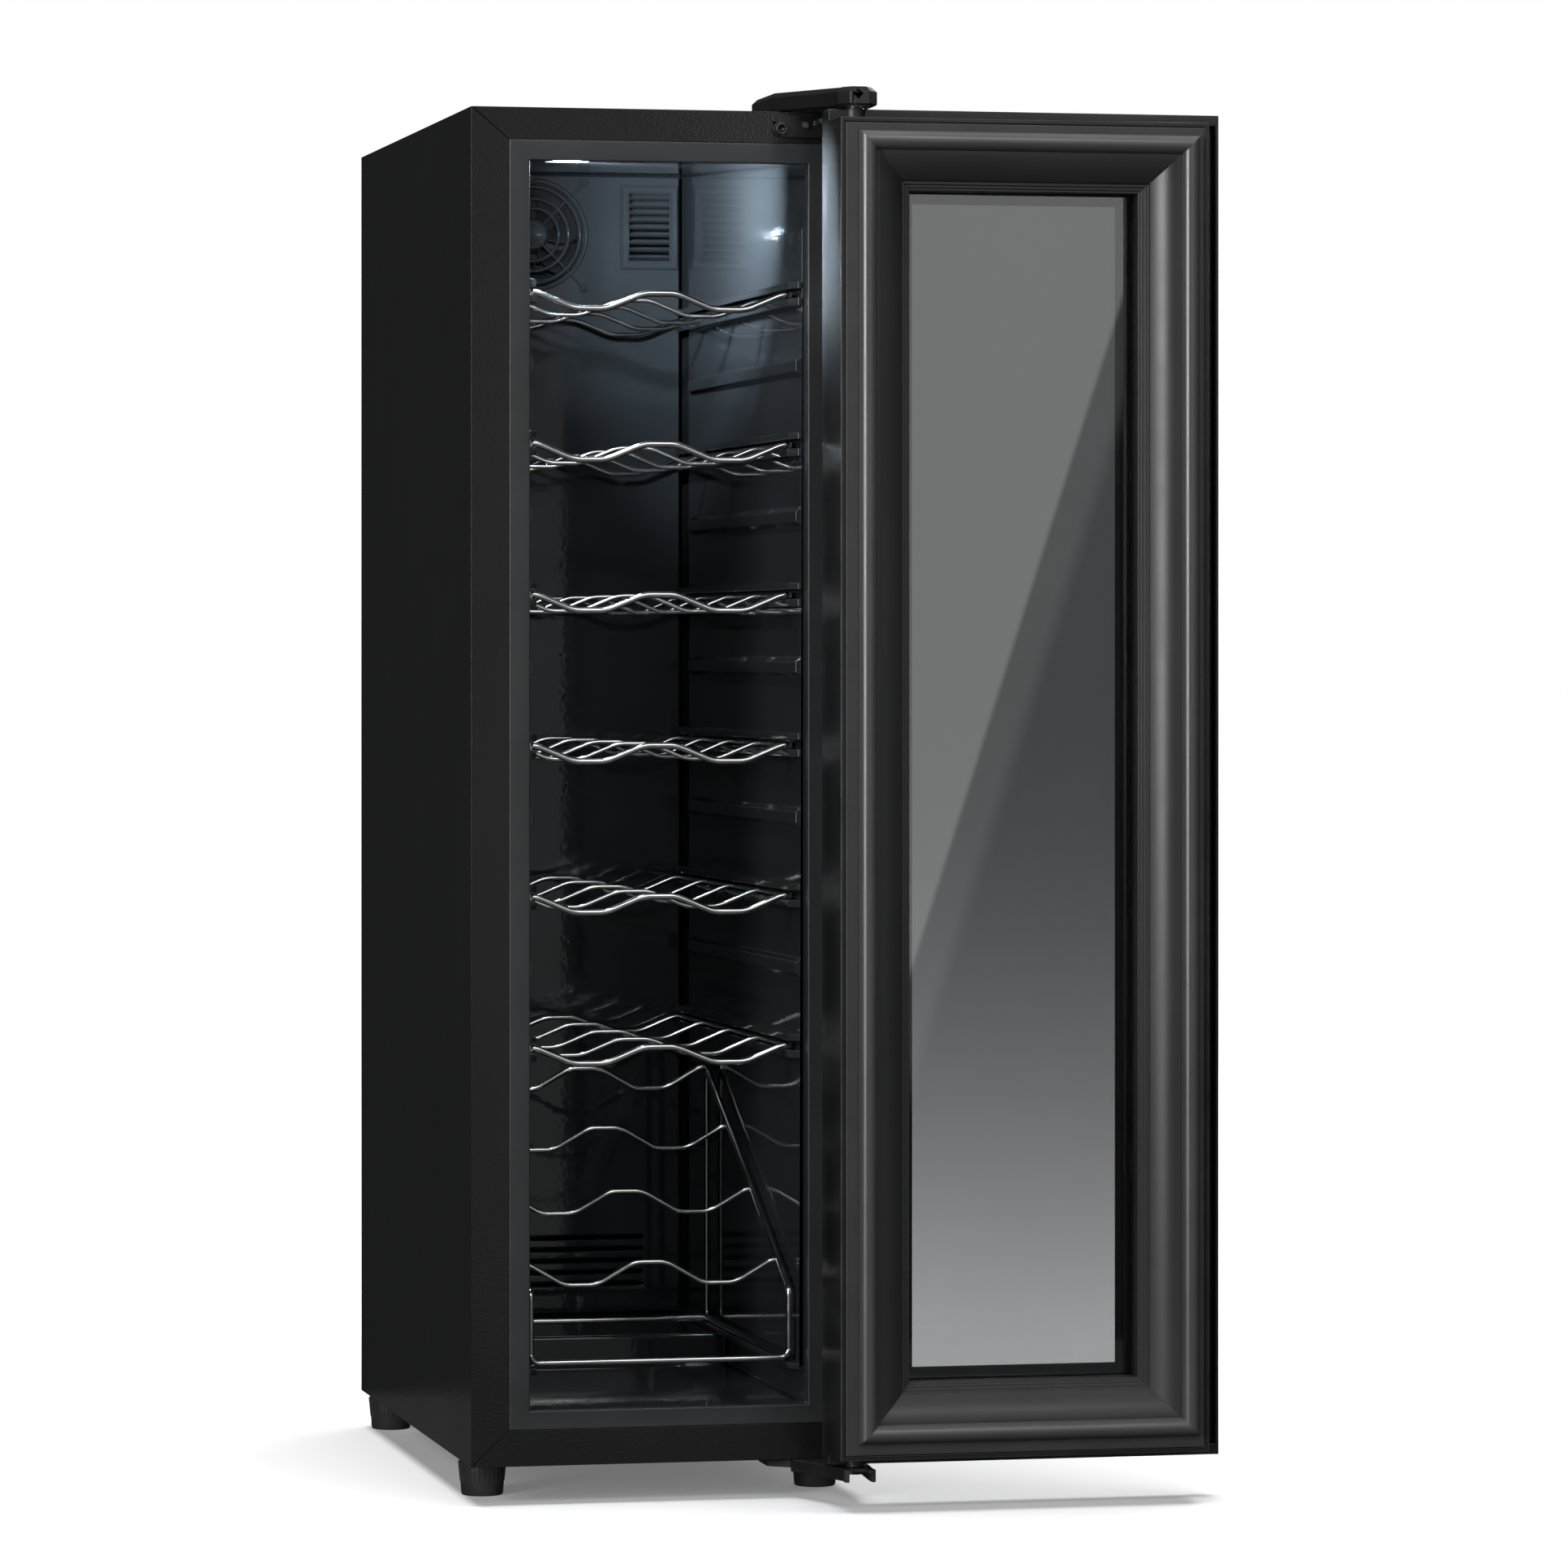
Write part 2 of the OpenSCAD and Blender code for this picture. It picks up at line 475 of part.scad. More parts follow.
// A mitred picture frame: the [w, y] profile runs round the rectangle, w pointing inwards.
module mitred(ua, ub, za, zb) {
  for (k = [0 : 3]) intersection() {
    if (k == 0) translate([hw - ua, 0, za - 1]) mirror([1, 0, 0]) linear_extrude(zb - za + 2) children();
    else if (k == 1) translate([hw - ub, 0, za - 1]) linear_extrude(zb - za + 2) children();
    else if (k == 2) translate([hw - ub - 1, 0, za]) rotate([90, 0, 90]) linear_extrude(ub - ua + 2) mirror([1, -1]) children();
    else translate([hw - ub - 1, 0, zb]) mirror([0, 0, 1]) rotate([90, 0, 90]) linear_extrude(ub - ua + 2) mirror([1, -1]) children();
    xz(y_out - 5, door_t + 20) polygon(wedge(k, hw - ub, hw - ua, za, zb, 60));
  }
}
function wedge(k, xa, xb, za, zb, m) =
  k == 0 ? [[xb, za], [xb, zb], [xb - m, zb - m], [xb - m, za + m]] :
  k == 1 ? [[xa, za], [xa, zb], [xa + m, zb - m], [xa + m, za + m]] :
  k == 2 ? [[xa, za], [xb, za], [xb - m, za + m], [xa + m, za + m]] :
           [[xa, zb], [xb, zb], [xb - m, zb - m], [xa + m, zb - m]];
module door_frame() {
  color(plastic) swung() difference() {
    union() {
      panel(y_out, slab_t, 0, body_w, dz0, dz1);
      panel(y_slab - 1, y_in - y_slab + 1, 0, body_w - lip, bz0, bz1);
    }
    panel(y_out - 1, glass_t + 1.1, 1.6, body_w - 1.6, dz0 + 1.6, dz1 - 1.6);
    panel(y_slab - 2.5, 50, 3.2, body_w - lip - 3.2, bz0 + 3.2, bz1 - 3.2);
    panel(y_out - 1, 50, win_u0 + ring_w - 0.2, win_u1 - ring_w + 0.2, win_z0 + ring_w - 0.2, win_z1 - ring_w + 0.2);
    panel(y_slab - 10, 11, body_w - lip + 1.5, body_w - 2.2, dz0 + 7, dz1 - 7);
    for (z = [dz0 - 1, dz1 - 20]) translate([hx, hy, z]) cylinder(r = 7, h = 21, $fn = 48);
  }
}
// The moulded inner skin: flange, gasket seat, rounded slope, fine steps and window jamb.
module door_liner() {
  o = [for (i = [0 : 10]) let (t = i / 10) [12.6 + 18.2 * t, y_in - 10 * pow(t, 1.8)]];
  color(plastic) swung() difference() {
    union() {
      mitred(win_u0, win_u1, win_z0, win_z1)
        polygon(concat([[1.2, y_slab - 2.2], [1.2, y_in], [3, y_in], [3, y_in - 4], [9.6, y_in - 4], [9.6, y_in], [12.6, y_in]], o,
          [[30.8, y_in - 11.6], [33, y_in - 11.6], [33, y_in - 13.2], [35, y_in - 13.2], [35, y_in - 14.6], [ring_w, y_in - 14.6], [ring_w, y_slab - 2.2]]));
      difference() {
        panel(y_slab - 2.2, y_in - y_slab + 2.2, 3.3, body_w - lip - 3.3, bz0 + 3.3, bz1 - 3.3);
        panel(y_slab - 3, 60, win_u0 + 1.3, win_u1 - 1.3, win_z0 + 1.3, win_z1 - 1.3);
      }
    }
    for (z = [dz0 - 1, dz1 - 20.2]) translate([hx, hy, z]) cylinder(r = 7.1, h = 21.2, $fn = 48);
  }
}
module door_gasket() {
  b = [for (i = [0 : 8]) let (a = 180 - i * 22.5) [6.4 + 5.9 * cos(a), y_in + 0.3 + 6 * sin(a)]];
  color([0.2, 0.2, 0.21]) swung() mitred(win_u0, win_u1, win_z0, win_z1)
    polygon(concat([[4, y_in - 3.8], [4, y_in + 0.05], [0.5, y_in + 0.05]], b, [[12.3, y_in + 0.05], [8.8, y_in + 0.05], [8.8, y_in - 3.8]]));
}
module outer_glass() { color([0.2, 0.21, 0.22, 0.4]) swung() panel(y_out, glass_t, 1.8, body_w - 1.8, dz0 + 1.8, dz1 - 1.8); }
module inner_glass() {
  color([0.25, 0.26, 0.27, 0.4]) swung() panel(y_slab - 2.2, glass_t, win_u0 + ring_w + 0.3, win_u1 - ring_w - 0.3, win_z0 + ring_w + 0.3, win_z1 - ring_w - 0.3);
}
module glass_spacer() {
  color([0.1, 0.1, 0.1]) swung() difference() {
    panel(y_out + glass_t + 0.05, slab_t - glass_t - 2.3, win_u0 + ring_w, win_u1 - ring_w, win_z0 + ring_w, win_z1 - ring_w);
    panel(y_out, 60, win_u0 + ring_w + 6.5, win_u1 - ring_w - 6.5, win_z0 + ring_w + 6.5, win_z1 - ring_w - 6.5);
  }
}
module grip_strip() {
  color([0.06, 0.06, 0.06]) swung() union() {
    panel(y_slab - 9.95, 2, body_w - lip + 1.7, body_w - 2.4, dz0 + 7.2, dz1 - 7.2);
    for (i = [0 : 3]) panel(y_slab - 8.5, 1.6, body_w - lip + 3.2 + i * 2.8, body_w - lip + 4.2 + i * 2.8, dz0 + 12, dz1 - 12);
  }
}
module bush(a, b, f0, f1) {
  difference() {
    union() {
      translate([hx, hy, a]) cylinder(r = 6.9, h = b - a, $fn = 48);
      translate([hx, hy, f0]) cylinder(r = 5.6, h = f1 - f0, $fn = 48);
    }
    translate([hx, hy, min(a, f0) - 1]) cylinder(r = pin_r + run_c, h = 40, $fn = 48);
  }
}
module top_bush() { color([0.85, 0.85, 0.82]) swung() bush(dz1 - 19.8, dz1 - 0.1, dz1 - 1, dz1 + 1.2); }
module bottom_bush() { color([0.85, 0.85, 0.82]) swung() bush(dz0 + 0.1, dz0 + 19.8, dz0 - 1.8, dz0 + 1); }

// --- Shelves and display rack ---
wave_x = [[-84, 1], [-80, 1], [-56, 0], [-35, 0], [-10.6, 1], [10.6, 1], [35, 0], [56, 0], [80, 1], [84, 1]];
module shelf(z) {
  color(chrome) union() {
    for (i = [0 : 4]) bent([for (p = wave_x) [p[0], wave_y[i], z + p[1] * wave_h]], i == 0 ? front_wire_r : wire_r);
    for (x = [-84, 84]) wire([x, wave_y[0] - 0.5, z + wave_h], [x, wave_y[4] + 0.5, z + wave_h], 1.9);
  }
}
module shelf_1() { shelf(shelf_top_z); }
module shelf_2() { shelf(shelf_top_z - shelf_pitch); }
module shelf_3() { shelf(shelf_top_z - 2 * shelf_pitch); }
module shelf_4() { shelf(shelf_top_z - 3 * shelf_pitch); }
module shelf_5() { shelf(shelf_top_z - 4 * shelf_pitch); }
module shelf_6() { shelf(shelf_top_z - 5 * shelf_pitch); }
module display_rack() {
  zb = z0 + 61.6;
  y0 = 30;
  y1 = 288;
  t = tan(rack_tilt);
  zs = z0 + 106;
  z_at = zs - y0 * t;
  color(chrome) union() {
    bent([[-84, y0, zb + 6], [-84, y0, zb], [84, y0, zb], [84, y0, zb + 6]], rack_r);
    bent([[-84, y1, zb], [84, y1, zb]], rack_r);
    for (x = [-84, 84]) {
      bent([[x, y0, zb], [x, y1, zb], [x, y1, z_at + y1 * t], [x, y0, zs], [x, y0, zb]], rack_r);
    }
    for (y = [62, 142, 216, y1]) bent([for (p = wave_x) [p[0], y, z_at + y * t + (p[1] - 1) * 14]], y == y1 ? rack_r : wire_r);
  }
}

side_panel_left();
side_panel_right();
top_panel();
base_pan();
back_panel();
foam_core();
breaker_frame();
liner();
runner_left();
runner_right();
duct_panel();
fan_guard();
louvre();
lamp_housing();
lamp_diffuser();
duct_fan_frame();
duct_fan_rotor();
cold_sink();
peltier_module();
hot_sink();
rear_fan_frame();
rear_fan_rotor();
rear_fan_guard();
power_board();
inlet_socket();
inlet_pins();
translate([0, 0, z1 + 0.02]) top_hinge_plate();
hinge_cover();
front_hinge_bracket();
bottom_hinge_bracket();
hinge_screws();
foot_front_left();
foot_front_right();
foot_rear_left();
foot_rear_right();
door_frame();
door_liner();
door_gasket();
outer_glass();
inner_glass();
glass_spacer();
grip_strip();
top_bush();
bottom_bush();
shelf_1();
shelf_2();
shelf_3();
shelf_4();
shelf_5();
shelf_6();
display_rack();
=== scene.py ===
import json
import math

import bmesh
import bpy
from mathutils import Matrix, Vector

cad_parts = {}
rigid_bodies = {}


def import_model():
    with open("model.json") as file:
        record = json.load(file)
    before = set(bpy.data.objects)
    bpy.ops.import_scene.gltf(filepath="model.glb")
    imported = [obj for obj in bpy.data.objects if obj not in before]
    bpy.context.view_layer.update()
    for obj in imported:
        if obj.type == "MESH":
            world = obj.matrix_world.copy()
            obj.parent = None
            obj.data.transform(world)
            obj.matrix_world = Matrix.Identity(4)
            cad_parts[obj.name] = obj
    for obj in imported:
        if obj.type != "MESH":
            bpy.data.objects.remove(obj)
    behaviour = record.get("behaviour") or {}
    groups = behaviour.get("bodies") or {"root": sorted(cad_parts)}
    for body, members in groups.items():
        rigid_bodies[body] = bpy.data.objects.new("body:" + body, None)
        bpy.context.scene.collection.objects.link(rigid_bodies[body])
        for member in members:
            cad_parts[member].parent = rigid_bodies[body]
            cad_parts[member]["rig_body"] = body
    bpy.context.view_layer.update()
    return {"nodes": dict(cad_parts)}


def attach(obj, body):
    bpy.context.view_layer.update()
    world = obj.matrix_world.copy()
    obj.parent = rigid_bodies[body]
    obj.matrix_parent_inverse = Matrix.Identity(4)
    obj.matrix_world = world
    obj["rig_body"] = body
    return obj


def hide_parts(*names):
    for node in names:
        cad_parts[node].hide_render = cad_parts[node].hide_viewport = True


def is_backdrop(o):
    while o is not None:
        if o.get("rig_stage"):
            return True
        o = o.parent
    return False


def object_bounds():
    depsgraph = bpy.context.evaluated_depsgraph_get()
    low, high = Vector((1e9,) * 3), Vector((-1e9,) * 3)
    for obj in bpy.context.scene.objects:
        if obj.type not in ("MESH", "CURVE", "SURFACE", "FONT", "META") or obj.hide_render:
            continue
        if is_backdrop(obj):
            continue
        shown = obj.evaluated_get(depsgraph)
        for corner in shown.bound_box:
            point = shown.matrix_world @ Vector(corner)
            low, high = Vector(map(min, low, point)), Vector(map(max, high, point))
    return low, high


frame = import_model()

scene = bpy.context.scene
scene.view_settings.view_transform = "Standard"
nodes = frame["nodes"]
mm = 0.001
print("frame loaded:", len(nodes), "CAD nodes")


# node helpers, for shader and geometry trees alike
def addNode(tree, kind, inputs=None, **settings):
    node = tree.nodes.new(kind)
    for name, value in settings.items():
        setattr(node, name, value)
    for name, value in (inputs or {}).items():
        if isinstance(value, bpy.types.NodeSocket):
            tree.links.new(value, node.inputs[name])
        else:
            node.inputs[name].default_value = value
    return node


def newTree(name, kind, inputs, outputs):
    tree = bpy.data.node_groups.new(name, kind)
    for label, socket, value in inputs:
        made = tree.interface.new_socket(label, in_out="INPUT", socket_type="NodeSocket" + socket)
        if value is not None:
            made.default_value = value
    for label, socket in outputs:
        tree.interface.new_socket(label, in_out="OUTPUT", socket_type="NodeSocket" + socket)
    start, end = tree.nodes.new("NodeGroupInput"), tree.nodes.new("NodeGroupOutput")
    return tree, start.outputs, end.inputs


# shared surface effects
def buildToneDrift():
    tree, given, out = newTree("toneDrift", "ShaderNodeTree",
        [("Dark", "Color", (0, 0, 0, 1)), ("Light", "Color", (1, 1, 1, 1)), ("Scale", "Float", 8.0)],
        [("Color", "Color")])
    place = addNode(tree, "ShaderNodeTexCoord")
    cloud = addNode(tree, "ShaderNodeTexNoise", {"Vector": place.outputs["Object"], "Scale": given["Scale"],
        "Detail": 4.0, "Roughness": 0.6})
    spread = addNode(tree, "ShaderNodeMapRange",
        {"Value": cloud.outputs["Fac"], "From Min": 0.32, "From Max": 0.68})
    blend = addNode(tree, "ShaderNodeMix",
        {0: spread.outputs["Result"], 6: given["Dark"], 7: given["Light"]}, data_type="RGBA")
    tree.links.new(blend.outputs[2], out["Color"])
    return tree


def buildHandledGloss():
    # roughness that drifts, with faint wiped streaks in it
    tree, given, out = newTree("handledGloss", "ShaderNodeTree",
        [("Low", "Float", 0.2), ("High", "Float", 0.4), ("Scale", "Float", 12.0)], [("Roughness", "Float")])
    place = addNode(tree, "ShaderNodeTexCoord")
    cloud = addNode(tree, "ShaderNodeTexNoise", {"Vector": place.outputs["Object"], "Scale": given["Scale"],
        "Detail": 5.0, "Distortion": 0.6})
    stretch = addNode(tree, "ShaderNodeMapping",
        {"Vector": place.outputs["Object"], "Rotation": (0.4, 0.2, 0.7), "Scale": (9.0, 9.0, 70.0)})
    wipe = addNode(tree, "ShaderNodeTexNoise",
        {"Vector": stretch.outputs["Vector"], "Scale": 1.0, "Detail": 3.0})
    both = addNode(tree, "ShaderNodeMath", {0: wipe.outputs["Fac"], 1: 0.35, 2: 0.0},
        operation="MULTIPLY_ADD")
    tree.links.new(cloud.outputs["Fac"], both.inputs[2])
    level = addNode(tree, "ShaderNodeMapRange",
        {"Value": both.outputs["Value"], "From Min": 0.5, "From Max": 0.85, "To Min": given["Low"],
        "To Max": given["High"]})
    tree.links.new(level.outputs["Result"], out["Roughness"])
    return tree


def buildPeelHeight():
    # small rounded cells with a finer ripple, as on powder paint or grained plastic
    tree, given, out = newTree("peelHeight", "ShaderNodeTree",
        [("Scale", "Float", 600.0), ("Ripple", "Float", 0.5)], [("Height", "Float")])
    place = addNode(tree, "ShaderNodeTexCoord")
    cell = addNode(tree, "ShaderNodeTexVoronoi",
        {"Vector": place.outputs["Object"], "Scale": given["Scale"], "Smoothness": 0.9},
        feature="SMOOTH_F1")
    wave = addNode(tree, "ShaderNodeTexNoise", {"Vector": place.outputs["Object"], "Scale": given["Scale"],
        "Detail": 2.0})
    total = addNode(tree, "ShaderNodeMath",
        {0: wave.outputs["Fac"], 1: given["Ripple"], 2: cell.outputs["Distance"]}, operation="MULTIPLY_ADD")
    tree.links.new(total.outputs["Value"], out["Height"])
    return tree


def buildDrawnLines():
    # long fine marks left by drawing, rolling or brushing
    tree, given, out = newTree("drawnLines", "ShaderNodeTree",
        [("Stretch", "Vector", (1.0, 1.0, 1.0)), ("Scale", "Float", 300.0)], [("Height", "Float")])
    place = addNode(tree, "ShaderNodeTexCoord")
    pull = addNode(tree, "ShaderNodeMapping",
        {"Vector": place.outputs["Object"], "Scale": given["Stretch"]})
    line = addNode(tree, "ShaderNodeTexNoise", {"Vector": pull.outputs["Vector"], "Scale": given["Scale"],
        "Detail": 3.0})
    tree.links.new(line.outputs["Fac"], out["Height"])
    return tree


def buildPaintedEdgeHighlight():
    # painted highlight: convex edges, found by their pointiness and broken into patches by noise, give a
    # mask that lightens the base colour in place of the thin highlights along edges
    tree, given, out = newTree("paintedEdgeHighlight", "ShaderNodeTree", [("Amount", "Float", 0.3)], [("Mask", "Float")])
    shape = addNode(tree, "ShaderNodeNewGeometry")
    edge = addNode(tree, "ShaderNodeMapRange",
        {"Value": shape.outputs["Pointiness"], "From Min": 0.52, "From Max": 0.62, "To Max": 1.0})
    place = addNode(tree, "ShaderNodeTexCoord")
    patch = addNode(tree, "ShaderNodeTexNoise",
        {"Vector": place.outputs["Object"], "Scale": 45.0, "Detail": 3.0})
    mask = addNode(tree, "ShaderNodeMath", {0: edge.outputs["Result"], 1: patch.outputs["Fac"]},
        operation="MULTIPLY")
    scaled = addNode(tree, "ShaderNodeMath", {0: mask.outputs["Value"], 1: given["Amount"]},
        operation="MULTIPLY", use_clamp=True)
    tree.links.new(scaled.outputs["Value"], out["Mask"])
    return tree


effects = {"toneDrift": buildToneDrift(), "handledGloss": buildHandledGloss(),
    "peelHeight": buildPeelHeight(),
           "drawnLines": buildDrawnLines(), "paintedEdgeHighlight": buildPaintedEdgeHighlight()}


def effect(tree, name, values):
    node = tree.nodes.new("ShaderNodeGroup")
    node.node_tree = effects[name]
    for label, value in values.items():
        node.inputs[label].default_value = value
    return node.outputs[0]


def grey(level, tint=(1.0, 1.0, 1.0)):
    return (level * tint[0], level * tint[1], level * tint[2], 1.0)


def finish(name, look):
    material = bpy.data.materials.new(name)
    material.use_nodes = True
    tree = material.node_tree
    shader = tree.nodes["Principled BSDF"]
    for socket, value in look.get("fixed", {}).items():
        shader.inputs[socket].default_value = value
    tone = effect(tree, "toneDrift",
        {"Dark": look["dark"], "Light": look["light"], "Scale": look.get("toneScale", 8.0)})
    # painted highlight: edges are mixed towards a lighter grey in the base colour
    if "rub" in look:
        highlightMask = effect(tree, "paintedEdgeHighlight", {"Amount": look["rub"][0]})
        tone = addNode(tree, "ShaderNodeMix", {0: highlightMask, 6: tone, 7: look["rub"][1]},
            data_type="RGBA").outputs[2]
    tree.links.new(tone, shader.inputs["Base Color"])
    gloss = look["gloss"]
    tree.links.new(effect(tree, "handledGloss", {"Low": gloss[0], "High": gloss[1], "Scale": gloss[2]}),
        shader.inputs["Roughness"])
    height = None
    if "peel" in look:
        scale, ripple, strength, distance = look["peel"]
        height = effect(tree, "peelHeight", {"Scale": scale, "Ripple": ripple})
    elif "lines" in look:
        stretch, scale, strength, distance = look["lines"]
        height = effect(tree, "drawnLines", {"Stretch": stretch, "Scale": scale})
    if height is not None:
        bump = addNode(tree, "ShaderNodeBump",
            {"Strength": strength, "Distance": distance, "Height": height})
        tree.links.new(bump.outputs["Normal"], shader.inputs["Normal"])
    return material


# mesh helpers
def toMesh(bm, name):
    mesh = bpy.data.meshes.new(name)
    bm.to_mesh(mesh)
    bm.free()
    return mesh


def pile(meshes):
    bm = bmesh.new()
    for mesh in meshes:
        bm.from_mesh(mesh)
    return toMesh(bm, "pile")


def place(name, mesh, material, nodeName, replace=True):
    # a finished piece: it rides with the node's body, and stands for the node unless told not to
    mesh.materials.clear()
    mesh.materials.append(material)
    for face in mesh.polygons:
        face.material_index = 0
    piece = bpy.data.objects.new(name, mesh)
    scene.collection.objects.link(piece)
    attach(piece, nodes[nodeName]["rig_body"])
    if replace:
        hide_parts(nodeName)
    return piece


def evaluated(obj):
    graph = bpy.context.evaluated_depsgraph_get()
    mesh = bpy.data.meshes.new_from_object(obj.evaluated_get(graph))
    bpy.data.objects.remove(obj)
    return mesh


def bevelled(mesh, width, segments=2, bend=18.0):
    # rounds every real edge; on a narrow face the radius shrinks to suit
    bm = bmesh.new()
    bm.from_mesh(mesh)
    weight = bm.edges.layers.float.get("bevel_weight_edge") or bm.edges.layers.float.new("bevel_weight_edge")
    room = {}
    for face in bm.faces:
        around = sum(edge.calc_length() for edge in face.edges)
        room[face] = 2.0 * face.calc_area() / max(around, 1e-9)
        face.smooth = True
    for edge in bm.edges:
        if len(edge.link_faces) == 2 and edge.calc_face_angle(0.0) > math.radians(bend):
            edge[weight] = min(1.0, 0.42 * min(room[face] for face in edge.link_faces) / width)
        else:
            edge[weight] = 0.0
    holder = bpy.data.objects.new("bevelHolder", toMesh(bm, "bevelHolder"))
    scene.collection.objects.link(holder)
    rounding = holder.modifiers.new("rounding", "BEVEL")
    rounding.limit_method = "WEIGHT"
    rounding.width = width
    rounding.segments = segments
    rounding.use_clamp_overlap = False
    rounding.harden_normals = True
    return evaluated(holder)


def mergedNode(nodeName):
    bm = bmesh.new()
    bm.from_mesh(nodes[nodeName].data)
    bmesh.ops.remove_doubles(bm, verts=bm.verts, dist=3e-6)
    bmesh.ops.dissolve_degenerate(bm, edges=bm.edges, dist=2e-6)
    bmesh.ops.dissolve_limit(bm, angle_limit=math.radians(0.6), verts=bm.verts, edges=bm.edges)
    mesh = toMesh(bm, nodeName)
    for name in ("custom_normal", "sharp_edge", "sharp_face"):
        if name in mesh.attributes:
            mesh.attributes.remove(mesh.attributes[name])
    return mesh


def pieceName(nodeName):
    # a piece never takes its node's own name, so a one-word name gets a second word
    words = nodeName.split("_") if "_" in nodeName else [nodeName, "shell"]
    return words[0] + "".join(word.capitalize() for word in words[1:])


def soften(nodeName, material, width=0.4, segments=2):
    return place(pieceName(nodeName), bevelled(mergedNode(nodeName), width * mm, segments), material,
        nodeName)


def dress(nodeName, material):
    data = nodes[nodeName].data
    data.materials.clear()
    data.materials.append(material)


def lathe(profile, steps=64):
    # profile of (radius, height) in mm, turned about Z; ends on the axis close it
    bm = bmesh.new()
    rings = []
    for radius, height in profile:
        if radius < 1e-6:
            rings.append([bm.verts.new((0, 0, height * mm))])
        else:
            rings.append([bm.verts.new((radius * mm * math.cos(2 * math.pi * i / steps),
                radius * mm * math.sin(2 * math.pi * i / steps), height * mm)) for i in range(steps)])
    for low, high in zip(rings, rings[1:]):
        for i in range(steps):
            j = (i + 1) % steps
            if len(low) == 1 and len(high) == 1:
                continue
            if len(low) == 1:
                bm.faces.new((low[0], high[j], high[i]))
            elif len(high) == 1:
                bm.faces.new((low[i], low[j], high[0]))
            else:
                bm.faces.new((low[i], low[j], high[j], high[i]))
    bmesh.ops.recalc_face_normals(bm, faces=bm.faces)
    for face in bm.faces:
        face.smooth = True
    return toMesh(bm, "lathe")


def block(low, high):
    bm = bmesh.new()
    bmesh.ops.create_cube(bm, size=1.0)
    centre = [(a + b) / 2 * mm for a, b in zip(low, high)]
    size = [(b - a) * mm for a, b in zip(low, high)]
    bmesh.ops.transform(bm, matrix=Matrix.Translation(centre) @ Matrix.Diagonal((*size, 1.0)),
        verts=bm.verts)
    return toMesh(bm, "block")


def moved(mesh, matrix):
    mesh.transform(matrix)
    return mesh


def shifted(x, y, z):
    return Matrix.Translation(Vector((x, y, z)) * mm)


def joined(bm, rings, closed=False):
    # quads between neighbouring rings of equal length; a closed stack also joins its last ring to its first
    following = rings[1:] + rings[:1] if closed else rings[1:]
    for low, high in zip(rings, following):
        for i in range(len(low)):
            j = (i + 1) % len(low)
            bm.faces.new((low[i], low[j], high[j], high[i]))
    if not closed:
        bm.faces.new(rings[0])
        bm.faces.new(rings[-1])
    bmesh.ops.recalc_face_normals(bm, faces=bm.faces)


def boxRing(bm, box, y):
    # the four corners of an upright rectangle (x0, x1, z0, z1) at one depth
    x0, x1, z0, z1 = box
    return [bm.verts.new((x * mm, y * mm, z * mm)) for x, z in ((x0, z0), (x1, z0), (x1, z1), (x0, z1))]


def shrunk(box, by):
    return (box[0] + by, box[1] - by, box[2] + by, box[3] - by)


def filletLoop(points, steps=5):
    # a closed 2-D outline of (a, b, radius): each corner becomes an arc
    loop = []
    for i, (a, b, radius) in enumerate(points):
        here, before, after = Vector((a,
            b)), Vector(points[i - 1][:2]), Vector(points[(i + 1) % len(points)][:2])
        back, on = (before - here), (after - here)
        if radius <= 0 or back.length < 1e-6 or on.length < 1e-6:
            loop.append((a, b))
            continue
        angle = back.angle(on)
        reach = min(radius / math.tan(angle / 2), 0.48 * back.length, 0.48 * on.length)
        size = reach * math.tan(angle / 2)
        middle = here + (back.normalized() + on.normalized()).normalized() * (size / math.sin(angle / 2))
        first, last = here + back.normalized() * reach - middle, here + on.normalized() * reach - middle
        turn = first.angle_signed(last)
        for step in range(steps + 1):
            spin = Matrix.Rotation(-turn * step / steps, 2)
            loop.append(tuple(middle + spin @ first))
    return loop


def flatKept(mesh):
    # large faces keep their own normals, so flats stay flat beside small rounded corners
    holder = bpy.data.objects.new("flatHolder", mesh)
    scene.collection.objects.link(holder)
    weighting = holder.modifiers.new("weighting", "WEIGHTED_NORMAL")
    weighting.keep_sharp = True
    weighting.weight = 80
    return evaluated(holder)


def frameSweep(outline, rect):
    # a closed (inwards, y) outline in mm, carried round a rectangle with mitred corners
    x0, x1, z0, z1 = rect
    bm = bmesh.new()
    rings = []
    for cx, cz, sx, sz in ((x0, z0, 1, 1), (x1, z0, -1, 1), (x1, z1, -1, -1), (x0, z1, 1, -1)):
        rings.append([bm.verts.new(((cx + sx * w) * mm, y * mm, (cz + sz * w) * mm)) for w, y in outline])
    count = len(outline)
    for k in range(4):
        here, there = rings[k], rings[(k + 1) % 4]
        for i in range(count):
            j = (i + 1) % count
            bm.faces.new((here[i], here[j], there[j], there[i]))
    bmesh.ops.recalc_face_normals(bm, faces=bm.faces)
    mitre = {frozenset((here[i], here[(i + 1) % count])) for here in rings for i in range(count)}
    for face in bm.faces:
        face.smooth = True
    for edge in bm.edges:
        if frozenset(edge.verts) in mitre:
            edge.smooth = False
    return flatKept(toMesh(bm, "frameSweep"))


# geometry trees
def painted(tree, given, end, shape):
    whole = addNode(tree, "GeometryNodeRealizeInstances", {"Geometry": shape})
    paint = addNode(tree, "GeometryNodeSetMaterial",
        {"Geometry": whole.outputs["Geometry"], "Material": given["Finish"]})
    tree.links.new(paint.outputs["Geometry"], end)
    return tree


